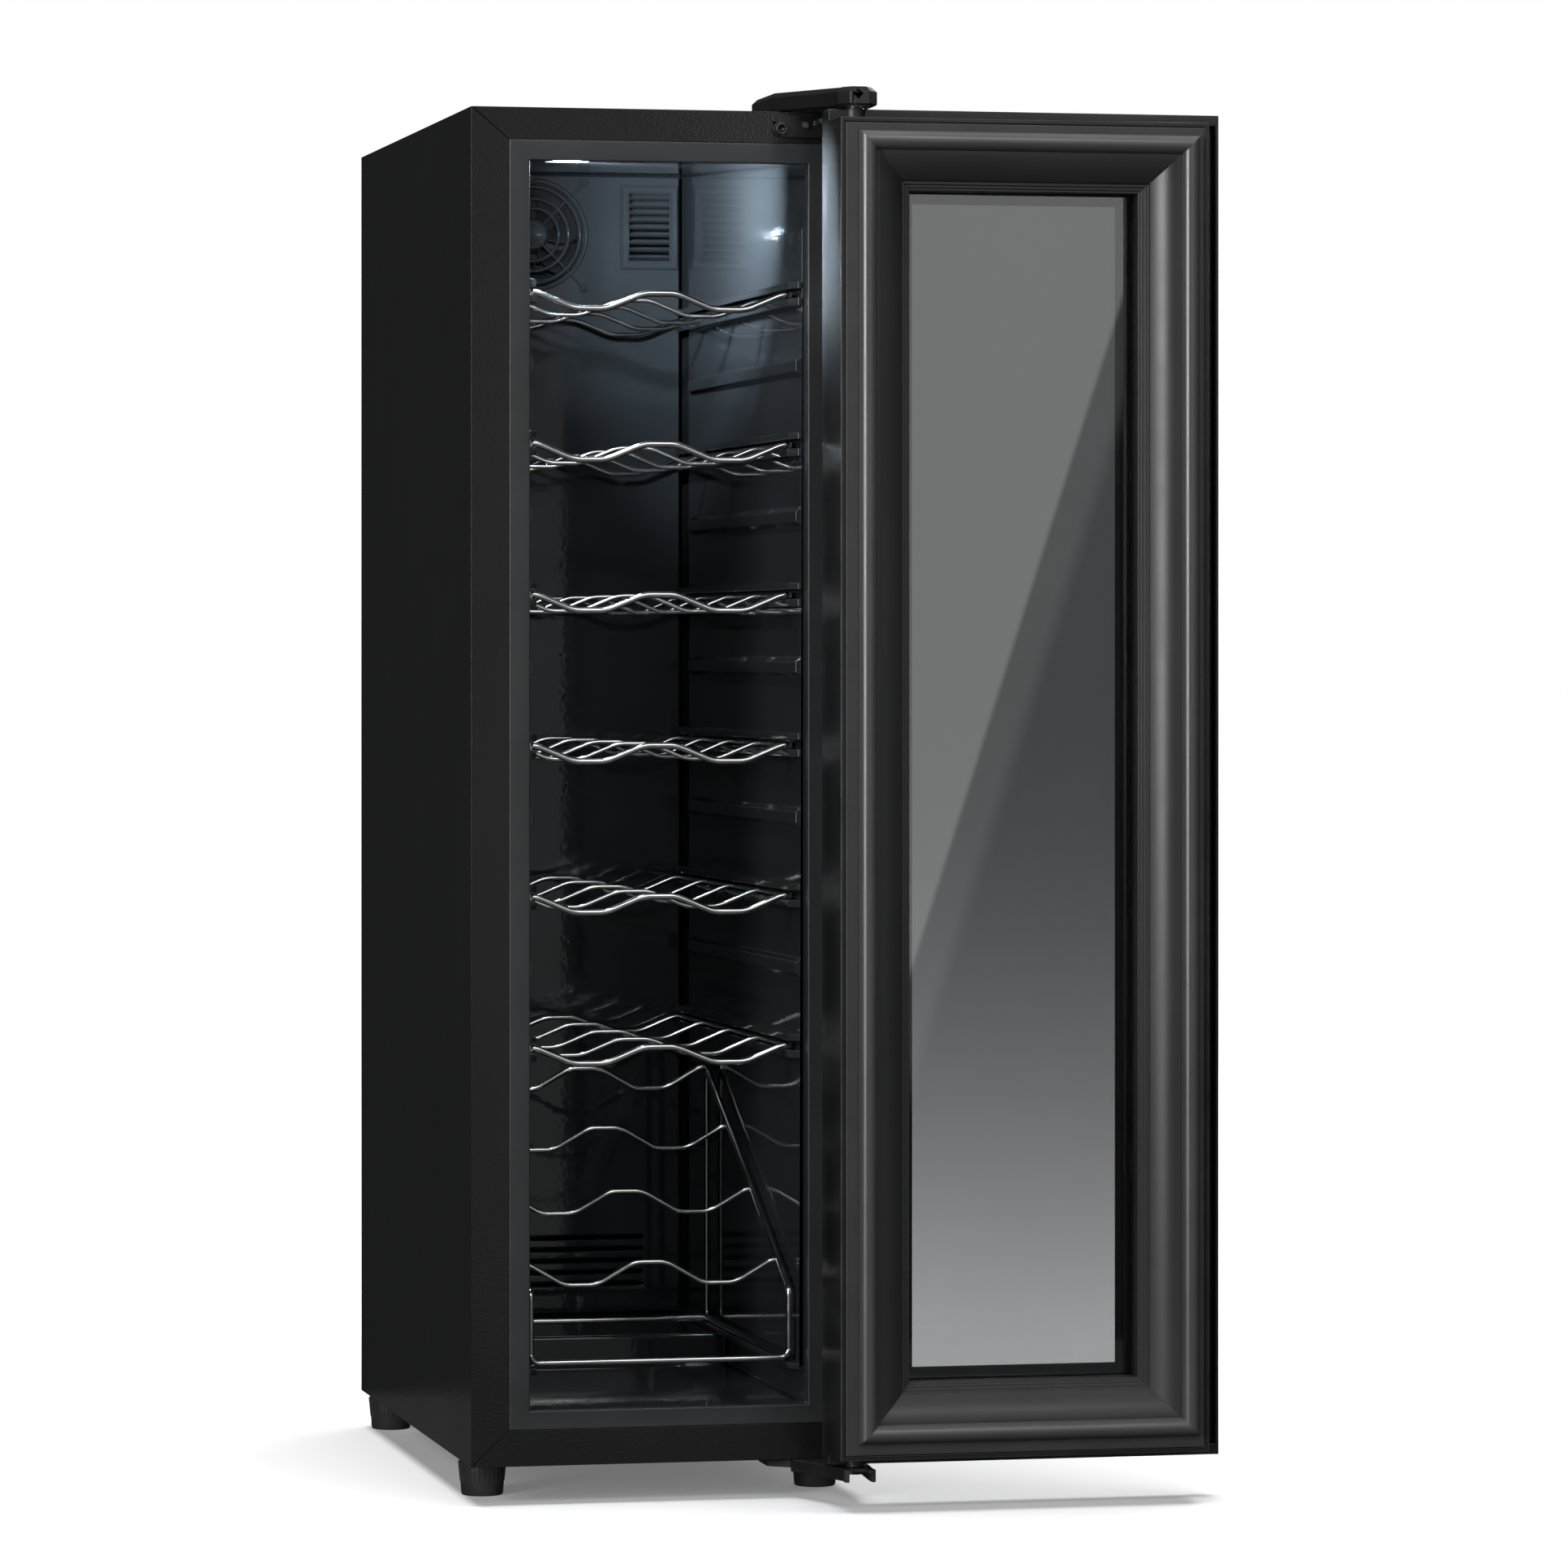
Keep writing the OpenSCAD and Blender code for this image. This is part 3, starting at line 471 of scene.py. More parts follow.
def buildBentWire():
    tree, given, out = newTree("bentWire", "GeometryNodeTree",
        [("Path", "Geometry", None), ("Wire radius", "Float", 0.002), ("Bend radius", "Float", 0.01),
        ("Bend steps", "Int", 6),
         ("Sides", "Int", 14), ("Finish", "Material", None)], [("Wire", "Geometry")])
    line = addNode(tree, "GeometryNodeMeshToCurve", {"Mesh": given["Path"]})
    bend = addNode(tree, "GeometryNodeFilletCurve",
        {"Curve": line.outputs["Curve"], "Radius": given["Bend radius"], "Count": given["Bend steps"],
        "Limit Radius": True}, mode="POLY")
    section = addNode(tree, "GeometryNodeCurvePrimitiveCircle",
        {"Resolution": given["Sides"], "Radius": given["Wire radius"]})
    tube = addNode(tree, "GeometryNodeCurveToMesh",
        {"Curve": bend.outputs["Curve"], "Profile Curve": section.outputs["Curve"], "Fill Caps": True})
    smooth = addNode(tree, "GeometryNodeSetShadeSmooth", {"Geometry": tube.outputs["Mesh"]})
    return painted(tree, given, out["Wire"], smooth.outputs["Geometry"])


def buildAroundAxis():
    # copies of one part at equal turns about Z
    tree, given, out = newTree("aroundAxis", "GeometryNodeTree",
        [("Part", "Object", None), ("Count", "Int", 6), ("First turn", "Float", 0.0),
        ("Finish", "Material", None)], [("Copies", "Geometry")])
    part = addNode(tree, "GeometryNodeObjectInfo", {"Object": given["Part"]})
    seats = addNode(tree, "GeometryNodeMeshLine", {"Count": given["Count"], "Offset": (0, 0, 0)})
    number = addNode(tree, "GeometryNodeInputIndex")
    share = addNode(tree, "ShaderNodeMath", {0: number.outputs["Index"], 1: given["Count"]},
        operation="DIVIDE")
    turn = addNode(tree, "ShaderNodeMath",
        {0: share.outputs["Value"], 1: 2 * math.pi, 2: given["First turn"]}, operation="MULTIPLY_ADD")
    spin = addNode(tree, "ShaderNodeCombineXYZ", {"Z": turn.outputs["Value"]})
    copies = addNode(tree, "GeometryNodeInstanceOnPoints",
        {"Points": seats.outputs["Mesh"], "Instance": part.outputs["Geometry"],
        "Rotation": spin.outputs["Vector"]})
    return painted(tree, given, out["Copies"], copies.outputs["Instances"])


def buildInRow():
    # copies of one part at equal steps along a line
    tree, given, out = newTree("inRow", "GeometryNodeTree",
        [("Part", "Object", None), ("Count", "Int", 6), ("Step", "Vector", (0, 0, 0.005)),
        ("Finish", "Material", None)], [("Copies", "Geometry")])
    part = addNode(tree, "GeometryNodeObjectInfo", {"Object": given["Part"]})
    seats = addNode(tree, "GeometryNodeMeshLine", {"Count": given["Count"], "Offset": given["Step"]})
    copies = addNode(tree, "GeometryNodeInstanceOnPoints",
        {"Points": seats.outputs["Mesh"], "Instance": part.outputs["Geometry"]})
    return painted(tree, given, out["Copies"], copies.outputs["Instances"])


def buildAtSeats():
    # one part at each seat point, its Z turned along the seat's own aim
    tree, given, out = newTree("atSeats", "GeometryNodeTree",
        [("Seats", "Geometry", None), ("Part", "Object", None), ("Finish", "Material", None)],
        [("Copies", "Geometry")])
    part = addNode(tree, "GeometryNodeObjectInfo", {"Object": given["Part"]})
    aim = addNode(tree, "GeometryNodeInputNamedAttribute", {"Name": "aim"}, data_type="FLOAT_VECTOR")
    turn = addNode(tree, "FunctionNodeAlignRotationToVector", {"Vector": aim.outputs["Attribute"]},
        axis="Z")
    copies = addNode(tree, "GeometryNodeInstanceOnPoints",
        {"Points": given["Seats"], "Instance": part.outputs["Geometry"],
        "Rotation": turn.outputs["Rotation"]})
    return painted(tree, given, out["Copies"], copies.outputs["Instances"])


bentWire, aroundAxis, inRow, atSeats = buildBentWire(), buildAroundAxis(), buildInRow(), buildAtSeats()


def grow(tree, values, source=None):
    holder = bpy.data.objects.new("growHolder", source or bpy.data.meshes.new("seed"))
    scene.collection.objects.link(holder)
    modifier = holder.modifiers.new("grow", "NODES")
    modifier.node_group = tree
    for item in tree.interface.items_tree:
        if item.item_type == "SOCKET" and item.in_out == "INPUT" and item.name in values:
            modifier[item.identifier] = values[item.name]
    return evaluated(holder)


def growCopies(tree, part, values, source=None):
    holder = bpy.data.objects.new("partHolder", part)
    scene.collection.objects.link(holder)
    holder.hide_render = True
    mesh = grow(tree, {**values, "Part": holder}, source)
    bpy.data.objects.remove(holder)
    return mesh


def paths(lines):
    # polylines in mm; a line whose first point comes again at its end is closed
    mesh = bpy.data.meshes.new("paths")
    points, edges = [], []
    for line in lines:
        first = len(points)
        closed = len(line) > 2 and Vector(line[0]) == Vector(line[-1])
        kept = line[:-1] if closed else line
        points += [Vector(p) * mm for p in kept]
        edges += [(first + i, first + i + 1) for i in range(len(kept) - 1)]
        if closed:
            edges.append((first + len(kept) - 1, first))
    mesh.from_pydata(points, edges, [])
    return mesh


def wires(lines, radius, bend, material, sides=14, steps=6):
    return grow(bentWire, {"Wire radius": radius * mm, "Bend radius": bend * mm, "Sides": sides,
        "Bend steps": steps, "Finish": material}, paths(lines))


def seatsFrom(spots):
    mesh = bpy.data.meshes.new("seats")
    mesh.from_pydata([Vector(p) * mm for p, aim in spots], [], [])
    aims = mesh.attributes.new("aim", "FLOAT_VECTOR", "POINT")
    for item, (p, aim) in zip(aims.data, spots):
        item.vector = aim
    return mesh


print("effects and geometry trees built")

# finishes
cabinetPaint = finish("cabinetPaint", {
    "dark": grey(0.0078), "light": grey(0.0100), "toneScale": 5.0, "gloss": (0.14, 0.2, 14.0),
    "peel": (620.0, 0.6, 0.15, 0.0004), "rub": (0.25, grey(0.03)), "fixed": {"Specular IOR Level": 0.4}})
frontPlastic = finish("frontPlastic", {
    "dark": grey(0.020, (0.97, 1.0, 1.04)), "light": grey(0.026, (0.97, 1.0, 1.04)), "toneScale": 6.0,
    "gloss": (0.3, 0.42, 12.0),
    "peel": (1500.0, 0.4, 0.08, 0.0002), "rub": (0.5, grey(0.12))})
linerGloss = finish("linerGloss", {
    "dark": grey(0.018, (0.93, 1.0, 1.07)), "light": grey(0.024, (0.93, 1.0, 1.07)), "toneScale": 4.0,
    "gloss": (0.025, 0.06, 9.0),
    "peel": (260.0, 0.5, 0.03, 0.0006), "fixed": {"IOR": 1.55}})
doorPlastic = finish("doorPlastic", {
    "dark": grey(0.022), "light": grey(0.028), "toneScale": 5.0, "gloss": (0.32, 0.38, 10.0),
    "peel": (1300.0, 0.5, 0.07, 0.0002), "rub": (0.4, grey(0.13))})
doorEdge = finish("doorEdge", {
    "dark": grey(0.005), "light": grey(0.008), "toneScale": 5.0, "gloss": (0.2, 0.27, 10.0),
    "peel": (900.0, 0.5, 0.03, 0.0002), "rub": (0.6, grey(0.12)), "fixed": {"Specular IOR Level": 0.4}})
sealRubber = finish("sealRubber", {
    "dark": grey(0.042), "light": grey(0.05), "toneScale": 9.0, "gloss": (0.30, 0.38, 22.0),
    "lines": ((1.0, 1.0, 1.0), 900.0, 0.08, 0.0002), "fixed": {"Specular IOR Level": 1.0}})
smokedGlass = finish("smokedGlass", {
    "dark": grey(0.52, (0.99, 1.0, 1.01)), "light": grey(0.54, (0.99, 1.0, 1.01)), "toneScale": 3.0,
    "gloss": (0.0, 0.012, 6.0),
    "fixed": {"Transmission Weight": 1.0, "IOR": 1.7}})
borderInk = finish("borderInk", {
    "dark": grey(0.004), "light": grey(0.007), "toneScale": 20.0, "gloss": (0.3, 0.45, 30.0),
    "peel": (2500.0, 0.5, 0.05, 0.0001)})
chromeWire = finish("chromeWire", {
    "dark": grey(0.60, (1.0, 0.985, 0.97)), "light": grey(0.72, (1.0, 0.985, 0.97)), "toneScale": 30.0,
    "gloss": (0.12, 0.22, 60.0),
    "lines": ((1.0, 1.0, 1.0), 700.0, 0.05, 0.0001), "fixed": {"Metallic": 1.0}})
zincSteel = finish("zincSteel", {
    "dark": grey(0.36), "light": grey(0.5, (1.0, 0.99, 0.96)), "toneScale": 60.0,
    "gloss": (0.22, 0.42, 50.0),
    "lines": ((1.0, 8.0, 1.0), 400.0, 0.12, 0.0001), "fixed": {"Metallic": 1.0}})
blackSteel = finish("blackSteel", {
    "dark": grey(0.008), "light": grey(0.013), "toneScale": 25.0, "gloss": (0.24, 0.38, 30.0),
    "peel": (1100.0, 0.5, 0.12, 0.0002), "rub": (0.5, grey(0.12))})
coverPlastic = finish("coverPlastic", {
    "dark": grey(0.007), "light": grey(0.010), "toneScale": 20.0, "gloss": (0.22, 0.32, 25.0),
    "peel": (1400.0, 0.4, 0.05, 0.0002), "rub": (0.4, grey(0.08))})
footRubber = finish("footRubber", {
    "dark": grey(0.024), "light": grey(0.034), "toneScale": 40.0, "gloss": (0.34, 0.46, 40.0),
    "peel": (1200.0, 0.5, 0.15, 0.0002), "rub": (0.5, grey(0.07))})
fanPlastic = finish("fanPlastic", {
    "dark": grey(0.010), "light": grey(0.016), "toneScale": 30.0, "gloss": (0.3, 0.42, 30.0),
    "peel": (1500.0, 0.4, 0.08, 0.0002)})
sinkAluminium = finish("sinkAluminium", {
    "dark": grey(0.55), "light": grey(0.7), "toneScale": 40.0, "gloss": (0.28, 0.42, 40.0),
    "lines": ((1.0, 1.0, 0.03), 900.0, 0.2, 0.0001), "fixed": {"Metallic": 1.0}})
whiteCeramic = finish("whiteCeramic", {
    "dark": grey(0.7), "light": grey(0.8, (1.0, 0.99, 0.95)), "toneScale": 60.0, "gloss": (0.35, 0.5, 60.0),
    "peel": (2000.0, 0.5, 0.08, 0.0001)})
boardGreen = finish("boardGreen", {
    "dark": (0.008, 0.06, 0.024, 1.0), "light": (0.014, 0.095, 0.04, 1.0), "toneScale": 90.0,
    "gloss": (0.22, 0.4, 60.0),
    "lines": ((1.0, 0.15, 1.0), 900.0, 0.15, 0.0001)})
contactBrass = finish("contactBrass", {
    "dark": (0.58, 0.42, 0.18, 1.0), "light": (0.72, 0.55, 0.26, 1.0), "toneScale": 120.0,
    "gloss": (0.18, 0.3, 80.0),
    "lines": ((1.0, 0.1, 1.0), 1500.0, 0.1, 0.0001), "fixed": {"Metallic": 1.0}})
bushNylon = finish("bushNylon", {
    "dark": grey(0.018), "light": grey(0.028), "toneScale": 60.0, "gloss": (0.35, 0.5, 50.0),
    "peel": (1800.0, 0.5, 0.05, 0.0001)})
coreFoam = finish("coreFoam", {
    "dark": grey(0.008), "light": grey(0.013), "toneScale": 50.0, "gloss": (0.8, 0.95, 40.0),
    "peel": (900.0, 0.8, 0.6, 0.0008)})
print("finishes mixed")

# cabinet
soften("side_panel_left", cabinetPaint, 0.35)
soften("side_panel_right", cabinetPaint, 0.35)
soften("top_panel", cabinetPaint, 0.3)
soften("base_pan", cabinetPaint, 0.3)
soften("back_panel", cabinetPaint, 0.3)
soften("breaker_frame", frontPlastic, 0.9, 3)
soften("liner", linerGloss, 2.5, 4)
soften("runner_left", linerGloss, 0.7)
soften("runner_right", linerGloss, 0.7)
soften("duct_panel", linerGloss, 1.0, 3)
dress("foam_core", coreFoam)
print("cabinet shell done")

# air duct: guard, louvre and fan
duct = {"centre": (-18.0, 826.0), "face": 388.0,
    "rings": ((37.4, 1.7), (33.2, 1.5), (25.0, 1.4), (18.3, 1.3)), "spoke": 1.0, "spokeReach": (9.0, 50.0),
        "bossRing": 51.0, "slats": 9, "slatStep": 5.1, "slatTilt": -28.0, "slatEnds": (49.6, 78.4),
        "firstSlat": (386.4, 811.2)}
quarters = [math.radians(45 + 90 * k) for k in range(4)]


def facing(centre, y, mesh):
    # turns a mesh built about +Z to face the door, its Z running along -Y
    return moved(mesh, Matrix.Translation(Vector((centre[0], y, centre[1])) * mm)
        @ Matrix.Rotation(math.pi / 2, 4, "X"))


def onRing(radius, angle):
    return (radius * math.cos(angle), radius * math.sin(angle), 0)


def circle(radius, steps=72):
    return [onRing(radius, 2 * math.pi * i / steps) for i in range(steps)] + [(radius, 0, 0)]


def spokes(inner, outer):
    return [[onRing(inner, a), onRing(outer, a)] for a in quarters]


guard = [wires([circle(radius)], thick, 0.0, linerGloss, 12, 1) for radius, thick in duct["rings"]]
guard.append(wires(spokes(*duct["spokeReach"]), duct["spoke"], 0.0, linerGloss, 12, 1))
guard.append(lathe([(0, -1.5), (9.8, -1.5), (10.3, -1.1), (10.3, 0.8), (9.6, 1.4), (8.2, 1.5), (7.6, 1.1),
    (0, 1.0)], 56))
boss = lathe([(0, -1.3), (3.0, -1.3), (3.0, 1.7), (2.7, 2.05), (2.1, 2.1), (1.7, 1.6), (1.7, 0.9),
    (0, 0.9)], 32)
guard += [moved(boss.copy(), shifted(*onRing(duct["bossRing"], a))) for a in quarters]
place("fanGuard", facing(duct["centre"], duct["face"] - 2.1, pile(guard)), linerGloss, "fan_guard")

louvreBox = (44.0, 84.0, 803.0, 861.0)
outline = filletLoop([(0, 387.95, 0), (0, 385.3, 0.5), (1.0, 384.8, 0.5), (2.0, 385.5, 0.3),
    (4.2, 385.5, 0.3), (5.2, 384.8, 0.4), (6, 385.3, 0.4), (6, 387.95, 0)], 4)
slat = filletLoop([(-1.9, -0.6, 0.5), (1.9, -0.6, 0.5), (1.9, 0.6, 0.5), (-1.9, 0.6, 0.5)], 4)
bm = bmesh.new()
joined(bm, [[bm.verts.new((x * mm, y * mm, z * mm)) for y, z in slat] for x in duct["slatEnds"]])
tilted = Matrix.Rotation(math.radians(duct["slatTilt"]), 4, "X")
oneSlat = moved(toMesh(bm, "slat"), shifted(0, *duct["firstSlat"]) @ tilted)
slats = growCopies(inRow, oneSlat, {"Count": duct["slats"], "Step": (0, 0, duct["slatStep"] * mm),
    "Finish": linerGloss})
place("louvreGrid", pile([frameSweep(outline, louvreBox), slats]), linerGloss, "louvre")


def fanWheel(radius, hub, depth, bore, blades):
    # hub with a domed cap, and swept blades that thin towards their tips
    half = depth / 2
    hubMesh = lathe([(bore, -half), (hub - 0.8, -half), (hub, -half + 0.8), (hub, half - 1.6),
        (hub - 0.5, half - 0.6), (hub - 1.6, half), (bore, half), (bore, -half)], 64)
    bm = bmesh.new()
    across, along, thick = 9, 8, 0.6
    grid = {}
    for side in (1, -1):
        for i in range(along + 1):
            r = hub - 0.8 + (radius - hub + 0.4) * i / along
            share = i / along
            chord = (0.9 + 0.45 * share) * 2 * math.pi * hub / blades * 0.9
            for k in range(across + 1):
                s = k / across - 0.5
                angle = (s * chord / hub * 0.78) + 0.38 * share * share
                lift = -s * depth * 0.86 + 0.5 * math.cos(math.pi * s) * 1.2
                wall = thick * (1 - (2 * s) ** 2 * 0.8) * (1.1 - 0.5 * share)
                grid[side, i, k] = bm.verts.new((r * math.cos(angle) * mm, r * math.sin(angle) * mm,
                    (lift + side * wall) * mm))
    for i in range(along):
        for k in range(across):
            bm.faces.new([grid[1, i, k], grid[1, i + 1, k], grid[1, i + 1, k + 1], grid[1, i, k + 1]])
            bm.faces.new([grid[-1, i, k], grid[-1, i, k + 1], grid[-1, i + 1, k + 1], grid[-1, i + 1, k]])
    for i in range(along):
        for k in (0, across):
            bm.faces.new([grid[1, i, k], grid[1, i + 1, k], grid[-1, i + 1, k], grid[-1, i, k]])
    for k in range(across):
        for i in (0, along):
            bm.faces.new([grid[1, i, k], grid[1, i, k + 1], grid[-1, i, k + 1], grid[-1, i, k]])
    bmesh.ops.recalc_face_normals(bm, faces=bm.faces)
    for face in bm.faces:
        face.smooth = True
    return pile([hubMesh,
        growCopies(aroundAxis, toMesh(bm, "blade"), {"Count": blades, "Finish": fanPlastic})])


ductFan = {"radius": 34.0, "hub": 12.0, "depth": 9.0, "bore": 1.55, "blades": 7}
rearFan = {"radius": 42.4, "hub": 16.0, "depth": 10.4, "bore": 1.55, "blades": 7}
fanSeats = {"duct": 396.3, "rear": 442.2, "rearCentre": (0.0, 620.0)}
place("ductFanRotor", facing(duct["centre"], fanSeats["duct"], fanWheel(**ductFan)), fanPlastic,
    "duct_fan_rotor")
place("rearFanRotor",
    facing(fanSeats["rearCentre"], fanSeats["rear"],
    moved(fanWheel(**rearFan), Matrix.Rotation(math.pi, 4, "X"))), fanPlastic, "rear_fan_rotor")
soften("duct_fan_frame", fanPlastic, 0.3)
soften("rear_fan_frame", fanPlastic, 0.5)
print("air duct and fans done")

# rear: fan grille, heat sinks, board, inlet, panel screws
grille = {"rings": (12, 20, 28, 36, 44), "wire": 1.0, "spoke": 0.9, "y": 451.1, "studRing": 58.33}
rear = [wires([circle(radius)], grille["wire"], 0.0, chromeWire, 12, 1) for radius in grille["rings"]]
rear.append(wires(spokes(10, 56), grille["spoke"], 0.0, chromeWire, 12, 1))
stud = lathe([(0, -1.1), (1.9, -1.1), (2.05, -0.9), (2.05, 6.9), (0, 7.1)], 24)
washer = lathe([(2.2, -1.0), (4.0, -1.0), (4.0, 0.6), (3.6, 1.0), (2.2, 1.0), (2.2, -1.0)], 32)
for a in quarters:
    spot = shifted(*onRing(grille["studRing"], a))
    rear += [moved(stud.copy(), spot), moved(washer.copy(), spot)]
place("rearFanGuard", facing(fanSeats["rearCentre"], grille["y"], pile(rear)), chromeWire, "rear_fan_guard")
dress("cold_sink", sinkAluminium)
dress("hot_sink", sinkAluminium)
dress("peltier_module", whiteCeramic)
dress("power_board", boardGreen)
soften("inlet_socket", fanPlastic, 0.8, 3)
soften("inlet_pins", contactBrass, 0.3)


def carve(mesh, tools):
    for tool in tools:
        body = bpy.data.objects.new("carveBody", mesh)
        cutter = bpy.data.objects.new("carveTool", tool)
        scene.collection.objects.link(body)
        scene.collection.objects.link(cutter)
        cut = body.modifiers.new("carve", "BOOLEAN")
        cut.operation, cut.object, cut.solver = "DIFFERENCE", cutter, "EXACT"
        mesh = evaluated(body)
        bpy.data.objects.remove(cutter)
    return mesh


def panScrew(radius, rise):
    # low domed head with a cross recess, its seat at z = 0
    head = lathe([(0, 0), (radius, 0), (radius, rise * 0.35), (radius * 0.86, rise * 0.78),
        (radius * 0.6, rise * 0.96), (0, rise)], 28)
    long, short = radius * 0.5, radius * 0.13
    return carve(head, [block((-a, -b, rise * 0.4), (a, b, rise * 2)) for a,
        b in ((short, long), (long, short))])


backScrews = {"side": 120.5, "y": 450.0, "rows": (60.0, 250.0, 455.0, 660.0, 850.0), "headRadius": 3.4,
    "rise": 1.5}
spots = [(side * backScrews["side"], z) for z in backScrews["rows"] for side in (-1, 1)]
spots += [(x, z) for x in (-60.0, 60.0) for z in (34.0, 873.0)]
seats = seatsFrom([((x, backScrews["y"], z), (0, 1, 0)) for x, z in spots])
screws = growCopies(atSeats, panScrew(backScrews["headRadius"], backScrews["rise"]), {"Finish": zincSteel},
    seats)
place("backPanelScrews", screws, zincSteel, "hinge_screws", False)
print("rear parts done")

# lamp
lamp = {"low": (-66.0, 4.0, 851.8), "high": (-47.6, 56.0, 853.6), "prisms": 18, "end": 1.0, "side": 0.8,
    "glow": 260.0}
soften("lamp_housing", fanPlastic, 0.3)
lampGlow = bpy.data.materials.new("lampGlow")
lampGlow.use_nodes = True
glowTree = lampGlow.node_tree
glowShader = glowTree.nodes["Principled BSDF"]
glow = (("Base Color", "toneDrift", {"Dark": (0.80, 0.86, 0.92, 1), "Light": (0.9, 0.94, 0.98, 1),
    "Scale": 40.0}),
        ("Emission Color", "toneDrift", {"Dark": (0.62, 0.82, 1.0, 1), "Light": (0.74, 0.9, 1.0, 1),
        "Scale": 60.0}),
        ("Roughness", "handledGloss", {"Low": 0.3, "High": 0.45, "Scale": 30.0}))
for socket, name, values in glow:
    glowTree.links.new(effect(glowTree, name, values), glowShader.inputs[socket])
glowShader.inputs["Emission Strength"].default_value = lamp["glow"]

# thin diffuser with a row of prisms below it, each narrowed to a ridge
(x0, y0, z0), (x1, y1, z1) = lamp["low"], lamp["high"]
step = (y1 - y0 - 2 * lamp["end"]) / lamp["prisms"]
first = y0 + lamp["end"]
ridge = block((x0 + lamp["side"], first, z0), (x1 - lamp["side"], first + step * 0.96, z0 + 1.4))
crest = (first + step * 0.48) * mm
for vertex in ridge.vertices:
    if vertex.co.z < (z0 + 0.5) * mm:
        vertex.co.y = crest + (vertex.co.y - crest) * 0.25
prisms = growCopies(inRow, ridge, {"Count": lamp["prisms"], "Step": (0, step * mm, 0), "Finish": lampGlow})
plate = bevelled(block((x0, y0, z0 + 0.9), lamp["high"]), 0.5 * mm)
place("lampDiffuser", pile([plate, prisms]), lampGlow, "lamp_diffuser")
print("lamp done")

# hinges and their screws
soften("top_hinge_plate", zincSteel, 0.3)
soften("front_hinge_bracket", blackSteel, 0.45, 3)
soften("bottom_hinge_bracket", blackSteel, 0.4, 3)
hingeCover = {"base": 882.05, "top": 894.0, "chamfer": 3.2, "footChamfer": 0.9, "wall": 1.8, "roof": 8.0}


def coverPlan(d):
    return [(66 + d, 60 - d), (66 + d, 7 - d * 0.3), (97 + d, -46), (97 + d, -53 + d),
        (103.5 + d * 0.5, -60.5 + d), (116 - d * 0.5, -60.5 + d), (122.5 - d, -53 + d), (124 - d, -8),
        (124 - d, 60 - d)]


def loftPlans(levels):
    bm = bmesh.new()
    joined(bm, [[bm.verts.new((x * mm, y * mm, z * mm)) for x, y in coverPlan(d)] for d, z in levels])
    return toMesh(bm, "loft")


base, top, edge, foot, wall = (hingeCover[name] for name in ("base", "top", "chamfer", "footChamfer",
    "wall"))
shell = loftPlans([(foot, base), (0, base + foot), (0, top - edge), (edge, top)])
hollow = loftPlans([(wall, base - 2), (wall, base + hingeCover["roof"] - 0.05)])
notch = moved(block((0, 0, 0), (4.4, 5, 4.4)), shifted(105.6, -62, base + 7.15)
    @ Matrix.Rotation(math.radians(45), 4, "Y"))
slit = block((105.2, -63, base - 2), (106.4, -59.4, base + 11))
place("hingeCover", bevelled(carve(shell, [hollow, notch, slit]), 0.45 * mm, 3), coverPlastic,
    "hinge_cover")


def hexScrew(flat, rise, shank, length):
    # hexagon head with a rounded crown and a rolled shank, its seat at z = 0
    bm = bmesh.new()
    levels = ((flat, 0.0), (flat, rise * 0.8), (flat * 0.86, rise))
    joined(bm, [[bm.verts.new(Vector(onRing(radius, math.pi / 3 * i)[:2] + (z,)) * mm) for i in range(6)]
        for radius, z in levels])
    thread = [(0, 0.05)]
    turns = max(2, int(length / 0.8))
    for k in range(turns):
        z = -k * length / turns
        thread += [(shank * 0.86, z), (shank, z - 0.4 * length / turns),
            (shank * 0.86, z - 0.8 * length / turns)]
    thread.append((0, -length))
    return pile([bevelled(toMesh(bm, "hex"), 0.25 * mm, 2), lathe(thread, 24)])


screwSets = (
    ("topHingeScrews", hexScrew(4.4, 2.6, 2.5, 11.0),
    [((80, 38, 885.03), (0, 0, 1)), ((111, 38, 885.03), (0, 0, 1)), ((95, 18, 885.03), (0, 0, 1))]),
    ("bottomHingeScrews", hexScrew(4.7, 2.4, 2.5, 12.0),
    [((76, 34, 22.33), (0, 0, -1)), ((114, 34, 22.33), (0, 0, -1)), ((96, 16, 22.33), (0, 0, -1))]),
    ("sideHingeScrew", hexScrew(2.4, 2.4, 1.5, 9.0), [((87.5, -1.85, 873.4), (0, -1, 0))]))
for name, part, spots in screwSets:
    mesh = growCopies(atSeats, part, {"Finish": zincSteel}, seatsFrom(spots))
    place(name, mesh, zincSteel, "hinge_screws", name == "topHingeScrews")
socketScrew = lathe([(0, -2.5), (2.2, -2.5), (2.2, 0.2), (2.45, 0.5), (3.6, 0.5), (4.0, 0.1), (4.0, -1.8),
    (2.5, -1.8), (2.5, -10), (0, -10)], 48)
place("frontHingeScrew", facing((72.0, 870.8), -3.7, socketScrew), blackSteel, "hinge_screws", False)
print("hinges done")

